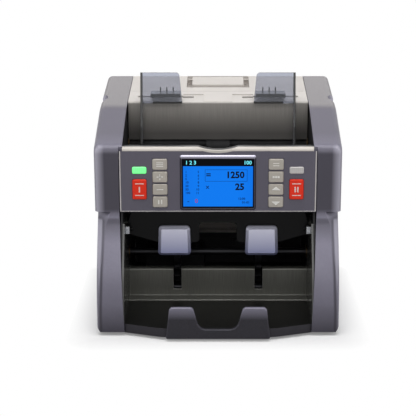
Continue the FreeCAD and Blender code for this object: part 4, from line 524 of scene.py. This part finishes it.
# painted gate: flecked paint, made paler by painted light along a ramp of z, and on its edges by rubbed
# wear and a painted highlight, and black plastic behind a ramp of y
def gateShell(name, look):
    s = Shader(name)
    paint = s.blend(s.spread(s.cloud(look["cloudScale"], detail=3)), look["color"], look["shade"])
    # painted light: the paint paler towards the top
    paint = s.blend(s.span(s.axis("Z"), *look["upperZ"], 0, look["upperShare"]), paint, look["upper"])
    paint = s.blend(s.specks(look["speckScale"], look["speck"]), paint, look["fleck"])
    # edges: rubbed wear and a painted highlight
    soft, edgeWearAndLight = s.edges(look["edgeRadius"])
    paint = s.blend(s.times(edgeWearAndLight, look["edgeShare"]), paint, look["fleck"])
    behind = s.span(s.axis("Y"), *look["paintY"], 0, 1)
    grain = s.cloud(look["grainScale"])
    return s.surface(
        Base_Color=s.blend(behind, paint, look["black"]),
        Metallic=s.span(behind, 0, 1, look["metal"], 0),
        Roughness=s.spread(grain, *look["rough"]), Specular_IOR_Level=look["shine"],
        Coat_Weight=look["coat"], Coat_Roughness=look["coatRough"],
        Normal=s.bump(grain, look["grainDepth"], look["grainLift"], soft))


# each finish: the function that makes it and its look; in moulded and brushed finishes an edge colour paler
# than the body is a painted highlight and a darker one painted shade, besides rubbed wear in the moulded
# ones
finishSpec = {
    "coverPaint": (coverPaint, coverLook),
    "gatePaint": (gateShell, gateLook),
    "hopperShell": (hopperShell, hopperLook),
    "displayGlass": (displayGlass, displayLook),
    "smokeClear": (smokeClear, smokeLook),
    "screwSteel": (crossHead, screwLook),
    "boardGreen": (boardGreen, boardLook),
    "panelPaint": (moulded, {
        "color": (84, 80, 93), "shade": (78, 75, 88), "fleck": (118, 114, 130), "speck": 0.3,
        "speckScale": 1900, "metal": 0.15, "rough": 0.42, "coat": 0.1}),
    # pads: the bluish colour low down is painted shade, darker towards the bottom
    "padPaint": (moulded, {
        "color": (228, 228, 246), "shade": (220, 220, 238), "fleck": (238, 238, 250), "speck": 0.3,
        "speckScale": 1900, "low": (138, 142, 178), "lowZ": (0.077, 0.106), "metal": 0.3, "rough": 0.34,
        "coat": 0.3}),
    "ivoryRim": (moulded, {
        "color": (222, 215, 207), "shade": (212, 205, 197), "rough": 0.36, "coat": 0.15,
        "back": (20, 20, 22), "backY": (-0.0672, -0.0669)}),
    "creamShell": (moulded, {
        "color": (203, 197, 191), "shade": (196, 190, 185), "rough": 0.46, "edge": (236, 232, 226)}),
    "blackGrain": (moulded, {
        "color": (26, 26, 29), "shade": (19, 19, 22), "rough": 0.45, "fleck": (52, 52, 56),
        "grainDepth": 0.00007, "grainLift": 0.4, "shine": 0.35}),
    # pan: the near-black colour on faces that look up is painted shade on the pan's floor
    "panBlack": (moulded, {
        "color": (53, 51, 57), "shade": (47, 45, 51), "rough": 0.4, "fleck": (70, 69, 76), "edgeShare": 0.4,
        "top": (11, 11, 10), "topFacing": (0.3, 0.6), "grainDepth": 0.00007, "grainLift": 0.4,
        "shine": 0.25}),
    "hoodBlack": (moulded, {
        "color": (11, 11, 12), "shade": (8, 8, 9), "rough": 0.32, "fleck": (30, 30, 32), "speck": 0.05,
        "grainDepth": 0.00003, "shine": 0.1, "edge": (40, 40, 43), "edgeShare": 0.3}),
    "wallGloss": (moulded, {
        "color": (60, 60, 58), "shade": (48, 48, 46), "rough": 0.24, "coat": 0.4, "edge": (120, 120, 118),
        "edgeShare": 0.6}),
    "blackSteel": (moulded, {"color": (22, 22, 24), "shade": (16, 16, 18), "rough": 0.55, "shine": 0.3}),
    # keys: their darker edge colours are painted shade on the keys' edges
    "keyBeige": (moulded, {
        "color": (196, 189, 179), "shade": (190, 183, 173), "rough": 0.42, "coat": 0.1,
        "edge": (120, 115, 108), "edgeShare": 0.35}),
    "keyRed": (moulded, {
        "color": (255, 58, 34), "shade": (248, 54, 30), "rough": 0.4, "shine": 0.25, "coat": 0.04,
        "edge": (150, 26, 16), "edgeShare": 0.4}),
    "footRubber": (moulded, {
        "color": (22, 22, 23), "shade": (16, 16, 17), "rough": 0.75, "grainDepth": 0.0001}),
    "rollerRubber": (moulded, {
        "color": (66, 66, 68), "shade": (54, 54, 56), "rough": 0.7, "grainDepth": 0.0001}),
    "beltRubber": (moulded, {
        "color": (24, 24, 24), "shade": (18, 18, 18), "rough": 0.6, "grainDepth": 0.0001}),
    "inkDark": (moulded, {"color": (3, 8, 26), "shade": (2, 6, 20), "rough": 0.5, "shine": 0.1}),
    "inkBlue": (moulded, {"color": (12, 56, 130), "shade": (10, 50, 120), "rough": 0.5, "shine": 0.1}),
    "inkPale": (moulded, {"color": (250, 248, 243), "shade": (244, 242, 236), "rough": 0.45}),
    "inkWhite": (moulded, {"color": (252, 226, 220), "shade": (246, 218, 212), "rough": 0.4}),
    # back plate: its near-white edge colour is a painted highlight
    "plateGrey": (brushed, {
        "color": (116, 116, 110), "shade": (96, 96, 90), "rough": 0.36, "metal": 0.4, "along": "z",
        "edge": (235, 235, 230), "edgeShare": 0.9, "edgeRadius": 0.0008}),
    # bezel: the pale edge colour is a painted highlight, and the colour under a height is painted shade
    # below its top edge
    "bezelMetal": (brushed, {
        "color": (162, 159, 172), "shade": (142, 140, 154), "rough": 0.2, "metal": 0.9,
        "edge": (190, 188, 198), "edgeRadius": 0.0005, "under": (64, 62, 72), "underZ": (0.1818, 0.1838)}),
    "groundSteel": (brushed, {
        "color": (182, 182, 186), "shade": (150, 150, 156), "rough": 0.25, "metal": 1.0}),
    "darkSteel": (brushed, {"color": (48, 48, 51), "shade": (34, 34, 37), "rough": 0.38, "metal": 0.8}),
    "bronze": (brushed, {"color": (96, 80, 56), "shade": (76, 62, 44), "rough": 0.42, "metal": 0.9}),
    "trimPale": (brushed, {
        "color": (206, 201, 198), "shade": (190, 186, 184), "rough": 0.3, "metal": 0.3, "along": "z",
        "edge": (238, 235, 232)}),
    "tabSilver": (brushed, {
        "color": (176, 178, 182), "shade": (150, 152, 157), "rough": 0.3, "metal": 0.85,
        "edge": (230, 232, 236)}),
    "lampLit": (lampLens, {
        "color": (118, 250, 146), "shade": (92, 240, 124), "edge": (30, 214, 74), "glow": 0.62,
        "ribs": 160}),
    "lampIdle": (lampLens, {
        "color": (212, 208, 206), "shade": (194, 190, 189), "edge": (240, 238, 236), "glow": 0.0,
        "ribs": 160}),
    "inkCyan": (lampLens, {
        "color": (104, 222, 236), "shade": (90, 212, 226), "edge": (104, 222, 236), "glow": 0.9,
        "ribs": 400}),
    "inkRed": (lampLens, {
        "color": (150, 30, 120), "shade": (140, 24, 110), "edge": (150, 30, 120), "glow": 0.4,
        "ribs": 400}),
}
finish = {name: make(name, look) for name, (make, look) in finishSpec.items()}

# which nodes wear which finish
wear = {
    "coverPaint": ["left_side_cover", "right_side_cover"],
    "panelPaint": ["console_panel"],
    "ivoryRim": ["console_rim"],
    "creamShell": ["rear_door", "door_latch"],
    "hopperShell": ["hopper_back_cover"],
    "padPaint": ["stacker_pads"],
    "gatePaint": ["front_gate"],
    "panBlack": ["base_pan"],
    "blackGrain": ["hopper_floor", "rear_panel", "power_inlet", "power_switch", "chute_guide", "door_guide",
                   "lower_image_sensor", "upper_image_sensor", "stacker_wheels", "guide_pinion"],
    "hoodBlack": ["stacker_hood"],
    "wallGloss": ["left_pocket_wall", "right_pocket_wall"],
    "blackSteel": ["left_frame", "right_frame", "stacker_motor", "power_supply", "feed_motor"],
    "plateGrey": ["stacker_back_plate"],
    "keyBeige": [f"key_{side}_{place}" for side in ("left", "right") for place in (1, 2, 3, 4)],
    "keyRed": ["start_key_left", "start_key_right"],
    "bezelMetal": ["display_bezel"],
    "displayGlass": ["display_window"],
    "lampLit": ["left_status_lamp"],
    "lampIdle": ["right_status_lamp"],
    "smokeClear": ["left_note_guide", "right_note_guide"],
    "groundSteel": ["pickup_shaft", "feed_shaft", "motor_pulley", "port_sockets"],
    "darkSteel": ["stacker_shaft", "tie_bars"],
    "screwSteel": ["cover_screws"],
    "bronze": ["shaft_bushes"],
    "footRubber": ["rubber_feet"],
    "rollerRubber": ["pickup_rollers", "feed_rollers", "retard_roller"],
    "beltRubber": ["feed_belt"],
    "boardGreen": ["control_board", "main_board"],
}
for name, nodes in wear.items():
    for node in nodes:
        for slot in cad[node].material_slots:
            slot.material = finish[name]
undressed = set(cad) - {node for nodes in wear.values() for node in nodes}
print("finishes:", len(finish), "undressed nodes:", sorted(undressed))


# a piece from a mesh that is already in its place: one finish, riding on a body
def placePiece(name, mesh, material, body):
    mesh.materials.clear()
    mesh.materials.append(finish[material])
    mesh.update()
    mesh.name = name
    piece = bpy.data.objects.new(name, mesh)
    bpy.context.scene.collection.objects.link(piece)
    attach(piece, body)


# a piece from an array of points in mm, times a millimetre, and faces that are lists of point numbers
def makePiece(name, points, faces, material, body):
    mesh = bpy.data.meshes.new(name)
    mesh.from_pydata((points * mm).tolist(), [], faces)
    placePiece(name, mesh, material, body)


# four-cornered faces of a grid of points, row after row: each point with the next in its row and column,
# closed round in either direction if asked
def gridFaces(rows, columns, closeRows=False, closeColumns=False):
    row = np.arange(rows if closeRows else rows - 1)[:, None]
    column = np.arange(columns if closeColumns else columns - 1)[None, :]
    nextRow, nextColumn = (row + 1) % rows, (column + 1) % columns
    corners = [row * columns + column, nextRow * columns + column, nextRow * columns + nextColumn,
               row * columns + nextColumn]
    return np.stack(corners, axis=-1).reshape(-1, 4)


# faces of a prism whose points are a ring and then the same ring further on: two caps and a band between
def prismFaces(count):
    caps = [list(range(count)), list(range(2 * count - 1, count - 1, -1))]
    return caps + gridFaces(2, count, closeColumns=True).tolist()


# flat outline in x, z raised into a slab along y; the sign of its area says if the ring is turned round
def slabPiece(name, ring, front, back, material, body):
    x, z = ring.T
    area = np.sum(x * np.roll(z, -1) - np.roll(x, -1) * z)
    ring = ring if area > 0 else ring[::-1]
    depth = np.repeat([front, back], len(ring))
    points = np.insert(np.tile(ring, (2, 1)), 1, depth, axis=1)
    makePiece(name, points, prismFaces(len(ring)), material, body)


# hollow outline in x, z: outer and inner ring at the front, inner and outer at the back, closed to a tube
def framePiece(name, outer, inner, front, back, material, body):
    depth = np.repeat([front, front, back, back], len(outer))
    points = np.insert(np.concatenate([outer, inner, inner, outer]), 1, depth, axis=1)
    faces = gridFaces(4, len(outer), closeRows=True, closeColumns=True)[:, ::-1]
    makePiece(name, points, faces.tolist(), material, body)


# corners of a rectangle in x, z: its middle less or plus its half sizes
def rectangle(x, z, halfWide, halfTall):
    return np.array([[x - halfWide, z - halfTall], [x + halfWide, z - halfTall],
                     [x + halfWide, z + halfTall], [x - halfWide, z + halfTall]])


# letters: those higher than big mm have bolder strokes; raised half a unit each way before they are scaled
letterSpec = {"big": 9, "bold": 0.035, "plain": 0.02, "raise": 0.5, "steps": 2}


# text as a mesh in the x-z plane: letters times their height in mm from a spot, squeezed on to a plane
def signPiece(name, words, size, spot, side, material, body, slot, plane, thin):
    curve = bpy.data.curves.new(name, "FONT")
    curve.body = words
    curve.offset = letterSpec["bold"] if size > letterSpec["big"] else letterSpec["plain"]
    curve.align_x = side
    curve.align_y = "CENTER"
    curve.extrude = letterSpec["raise"]
    curve.resolution_u = letterSpec["steps"]
    holder = bpy.data.objects.new(name, curve)
    bpy.context.scene.collection.objects.link(holder)
    bpy.context.view_layer.update()
    mesh = bpy.data.meshes.new_from_object(holder.evaluated_get(bpy.context.evaluated_depsgraph_get()))
    bpy.data.objects.remove(holder)
    flat = np.empty(len(mesh.vertices) * 3)
    mesh.vertices.foreach_get("co", flat)
    right, up, out = flat.reshape(-1, 3).T
    depth = plane - (out + letterSpec["raise"]) * thin
    placed = np.column_stack([spot[0] + right * size, depth, spot[1] + up * size])
    mesh.vertices.foreach_set("co", (placed * mm).ravel())
    placePiece(name, mesh, material, body)


# signs on the display, a gap in front of its window: words, height, place in x and z, side they hang from
# and ink
displaySpec = {"gap": 0.06, "thin": 0.03}
displaySigns = {
    "barNumber": ("1 2 3", 5.6, (-34.0, 177.4), "LEFT", "inkCyan"),
    "barCode": ("100", 5.6, (35.0, 177.4), "RIGHT", "inkCyan"),
    "totalSign": ("=", 9.0, (-12.5, 164.2), "LEFT", "inkDark"),
    "totalNumber": ("1250", 9.6, (27.5, 164.2), "RIGHT", "inkDark"),
    "countNumber": ("25", 9.6, (27.5, 151.5), "RIGHT", "inkDark"),
    "countSign": ("x", 6.4, (-12.5, 151.8), "LEFT", "inkBlue"),
    "spareNumber": ("0", 6.0, (-22.5, 136.4), "CENTER", "inkRed"),
    "spareSign": ("-", 6.0, (-31.0, 136.4), "CENTER", "inkBlue"),
    "clock": ("12:00", 3.4, (28.5, 138.9), "RIGHT", "inkBlue"),
    "date": ("01-01", 3.4, (33.0, 134.9), "RIGHT", "inkBlue"),
}
displayPlane = boxOf("display_window")[0][1] - displaySpec["gap"]
onDisplay = ("chassis", "display", displayPlane, displaySpec["thin"])
for name, (words, size, spot, side, ink) in displaySigns.items():
    signPiece(name, words, size, spot, side, ink, *onDisplay)

# small table at the left of the display: values in one column, counts that go up by one in the other
rowSpec = {"values": ["1", "2", "5", "10", "20", "50", "100"], "firstCount": 5, "size": 3.4,
           "valueX": -34.0, "countX": -19.5, "top": 167.6, "step": 3.75, "ink": "inkBlue"}
for place, value in enumerate(rowSpec["values"]):
    height = rowSpec["top"] - rowSpec["step"] * place
    valueSpot, countSpot = (rowSpec["valueX"], height), (rowSpec["countX"], height)
    count = str(rowSpec["firstCount"] + place)
    signPiece(f"rowValue{place}", value, rowSpec["size"], valueSpot, "LEFT", rowSpec["ink"], *onDisplay)
    signPiece(f"rowCount{place}", count, rowSpec["size"], countSpot, "RIGHT", rowSpec["ink"], *onDisplay)

# box line round the total: middle, half sizes and width of the line
lineSpec = {"x": 8.5, "z": 163.9, "halfWide": 22, "halfTall": 6.3, "line": 0.35, "ink": "inkBlue"}
lineOuter = rectangle(lineSpec["x"], lineSpec["z"], lineSpec["halfWide"], lineSpec["halfTall"])
lineInner = rectangle(lineSpec["x"], lineSpec["z"], lineSpec["halfWide"] - lineSpec["line"],
                      lineSpec["halfTall"] - lineSpec["line"])
framePiece("totalFrame", lineOuter, lineInner, displayPlane - displaySpec["thin"], displayPlane,
           lineSpec["ink"], "chassis")
print("display signs:", len(displaySigns) + 2 * len(rowSpec["values"]) + 1)

# marks on the keys: how far they stand proud of a key and reach into it, and the two bars on a red key
keySpec = {"proud": 0.07, "sunk": 0.1, "barWide": 4.6, "barTall": 0.5, "barAway": 6.2}
redBars = [rectangle(0, height, keySpec["barWide"], keySpec["barTall"])
           for height in (-keySpec["barAway"], keySpec["barAway"])]
marks = {  # outlines in x, z about a key's middle
    "key_left_1": [rectangle(0, height, 3.6, 0.4) for height in (-1.8, 0, 1.8)],
    "key_left_2": [rectangle(0, 0, 3.4, 0.45), rectangle(0, 0, 0.45, 3.0)],
    "key_left_3": [rectangle(0, 0, 3.6, 0.45)],
    "key_left_4": [rectangle(side, 0, 0.7, 2.3) for side in (-1.5, 1.5)],
    "key_right_1": [rectangle(0, height, 3.2, 0.4) for height in (-1.2, 1.2)],
    "key_right_2": [rectangle(side, 0, 1.1, 1.1) for side in (-2.6, 0, 2.6)],
    "key_right_3": [np.array([[-4.6, -0.6], [4.6, -0.6], [0, 3.4]])],
    "key_right_4": [np.array([[-4.6, 0.6], [0, -3.4], [4.6, 0.6]])],
    "start_key_left": [rectangle(0, 0, 0.75, 3.0), *redBars],
    "start_key_right": [*(rectangle(side, 0, 0.75, 3.0) for side in (-1.4, 1.4)), *redBars],
}
for node, shapes in marks.items():
    low, high = boxOf(node)
    middle = (low + high) / 2
    ink, slot = ("inkWhite", "key_red") if node.startswith("start") else ("inkPale", "key_beige")
    for place, shape in enumerate(shapes):
        slabPiece(f"{node}_mark{place}", shape + middle[[0, 2]], low[1] - keySpec["proud"],
                  low[1] + keySpec["sunk"], ink, f"{node}_body")
print("key marks:", sum(len(shapes) for shapes in marks.values()))

# pale trim down both sides and along the foot of the console panel: how far in from the panel's box, its
# width, and how far it stands proud of the panel and reaches into it
trimSpec = {"sideIn": 0.8, "footIn": 0.5, "topIn": 0.1, "wide": 1.1, "footTall": 0.6, "gap": 0.02,
            "proud": 0.12, "sunk": 0.1}
panelLow, panelHigh = boxOf("console_panel")
trimFoot, trimTop = panelLow[2] + trimSpec["footIn"], panelHigh[2] - trimSpec["topIn"]
trimInner = panelHigh[0] - trimSpec["sideIn"] - trimSpec["wide"]
trimFront, trimBack = panelLow[1] - trimSpec["proud"], panelLow[1] + trimSpec["sunk"]
halfWide, halfTall, halfFoot = trimSpec["wide"] / 2, (trimTop - trimFoot) / 2, trimSpec["footTall"] / 2
trimRings = {
    "leftTrim": rectangle(-trimInner - halfWide, trimFoot + halfTall, halfWide, halfTall),
    "rightTrim": rectangle(trimInner + halfWide, trimFoot + halfTall, halfWide, halfTall),
    "footTrim": rectangle(0, trimFoot + halfFoot, trimInner - trimSpec["gap"], halfFoot),
}
for name, ring in trimRings.items():
    slabPiece(name, ring, trimFront, trimBack, "trimPale", "chassis")

# ribbed silver hinge tabs at the upper corners of the pocket, a gap in from its walls
tabSpec = {"gap": 0.1, "wide": 4.1, "front": -62.0, "back": -57.0, "low": 98.5, "high": 106.0, "ribs": 5,
           "tooth": 0.5, "ribSteps": 4}


# profile in y, z: a rectangle whose front edge steps in and out by a tooth at each rib; carried along x
# from one end to the other
def tabPiece(name, ends):
    steps = tabSpec["ribSteps"] * tabSpec["ribs"]
    rise = np.linspace(tabSpec["low"], tabSpec["high"], steps)
    proud = np.arange(steps) % tabSpec["ribSteps"] < tabSpec["ribSteps"] / 2
    front = tabSpec["front"] + np.where(proud, 0.0, tabSpec["tooth"])
    ring = np.concatenate([np.column_stack([front, rise]),
                           [[tabSpec["back"], tabSpec["high"]], [tabSpec["back"], tabSpec["low"]]]])
    points = np.column_stack([np.repeat(ends, len(ring)), np.tile(ring, (2, 1))])
    makePiece(name, points, prismFaces(len(ring)), "tabSilver", "chassis")


tabOuter = boxOf("right_pocket_wall")[0][0] - tabSpec["gap"]
tabInner = tabOuter - tabSpec["wide"]
tabPiece("leftHingeTab", (-tabOuter, -tabInner))
tabPiece("rightHingeTab", (tabInner, tabOuter))
print("trim and tabs:", len(trimRings) + 2)

# dark foam strips inside the rear panel, clear of the door's swing: middle, half sizes, front and thickness
sealSpec = {
    "sealLeft": {"x": -98.9, "z": 30.0, "halfWide": 0.95, "halfTall": 17.4, "front": 109.6, "thick": 2.1},
    "sealRight": {"x": 98.9, "z": 30.0, "halfWide": 0.95, "halfTall": 17.4, "front": 109.6, "thick": 2.1},
    "sealTop": {"x": 0.0, "z": 48.475, "halfWide": 99.95, "halfTall": 3.475, "front": 107.0, "thick": 2.1},
}
for name, seal in sealSpec.items():
    ring = rectangle(seal["x"], seal["z"], seal["halfWide"], seal["halfTall"])
    slabPiece(name, ring, seal["front"], seal["front"] + seal["thick"], "footRubber", "chassis")
print("seals:", len(sealSpec))

# case of the power switch behind the rear panel: walls round the cut-out, and a lid that fits inside them
caseSpec = {"x": 30.0, "z": 30.6, "halfWide": 12.4, "halfTall": 12.8, "wall": 1.0, "front": 103.4,
            "back": 111.9, "lidFit": 0.999}
roomWide, roomTall = caseSpec["halfWide"] - caseSpec["wall"], caseSpec["halfTall"] - caseSpec["wall"]
caseOuter = rectangle(caseSpec["x"], caseSpec["z"], caseSpec["halfWide"], caseSpec["halfTall"])
caseInner = rectangle(caseSpec["x"], caseSpec["z"], roomWide, roomTall)
lidWide, lidTall = roomWide * caseSpec["lidFit"], roomTall * caseSpec["lidFit"]
caseLid = rectangle(caseSpec["x"], caseSpec["z"], lidWide, lidTall)
framePiece("switchCase", caseOuter, caseInner, caseSpec["front"], caseSpec["back"], "blackGrain",
           "chassis")
slabPiece("switchLid", caseLid, caseSpec["front"], caseSpec["front"] + caseSpec["wall"], "blackGrain",
          "chassis")
print("switch case: walls and lid")

# floor: half size in metres, its colours to the eye and as bounced light, the half sizes of the machine's
# foot, and the distances from the foot over which the floor's own glow rises to white
floorSpec = {
    "half": 6.0, "color": (248, 248, 248), "shade": (250, 250, 250), "grainScale": 300, "grain": 0.1,
    "bounce": (172, 172, 172), "foot": (0.124, 0.112), "glowAway": (0.003, 0.035), "glow": (0.2, 1.0)}


# pale floor that keeps the shadow near the foot, a rectangle: the distance to it is the length of how far
# |x| and |y| go past its half sizes, and the glow is a ramp of that distance for rays that show the
# background
def makeFloor():
    s = Shader("paleFloor")
    past = [s.largest(s.math("SUBTRACT", s.off(letter), half), 0.0)
            for letter, half in zip("XY", floorSpec["foot"])]
    away = s.math("SQRT", s.math("ADD", *[s.times(value, value) for value in past]))
    path, seen = s.rays()
    share = s.times(seen, s.span(away, *floorSpec["glowAway"], *floorSpec["glow"]))
    grain = s.spread(s.cloud(floorSpec["grainScale"]), 0, floorSpec["grain"])
    color = s.blend(grain, floorSpec["color"], floorSpec["shade"])
    color = s.blend(path["Is Camera Ray"], floorSpec["bounce"], color)
    matt = s.add("BsdfDiffuse", Color=color)
    white = s.add("Emission", Color=worldSpec["color"], Strength=worldSpec["white"])
    mix = s.add("MixShader", **{"0": share, "1": matt.outputs[0], "2": white.outputs[0]})
    s.add("OutputMaterial", Surface=mix.outputs[0])
    half = floorSpec["half"]
    mesh = bpy.data.meshes.new("floor")
    corners = [(-half, -half, 0), (half, -half, 0), (half, half, 0), (-half, half, 0)]
    mesh.from_pydata(corners, [], [(0, 1, 2, 3)])
    mesh.materials.append(s.material)
    floor = bpy.data.objects.new("floor", mesh)
    bpy.context.scene.collection.objects.link(floor)


makeFloor()
print("floor:", 2 * floorSpec["half"], "m wide")
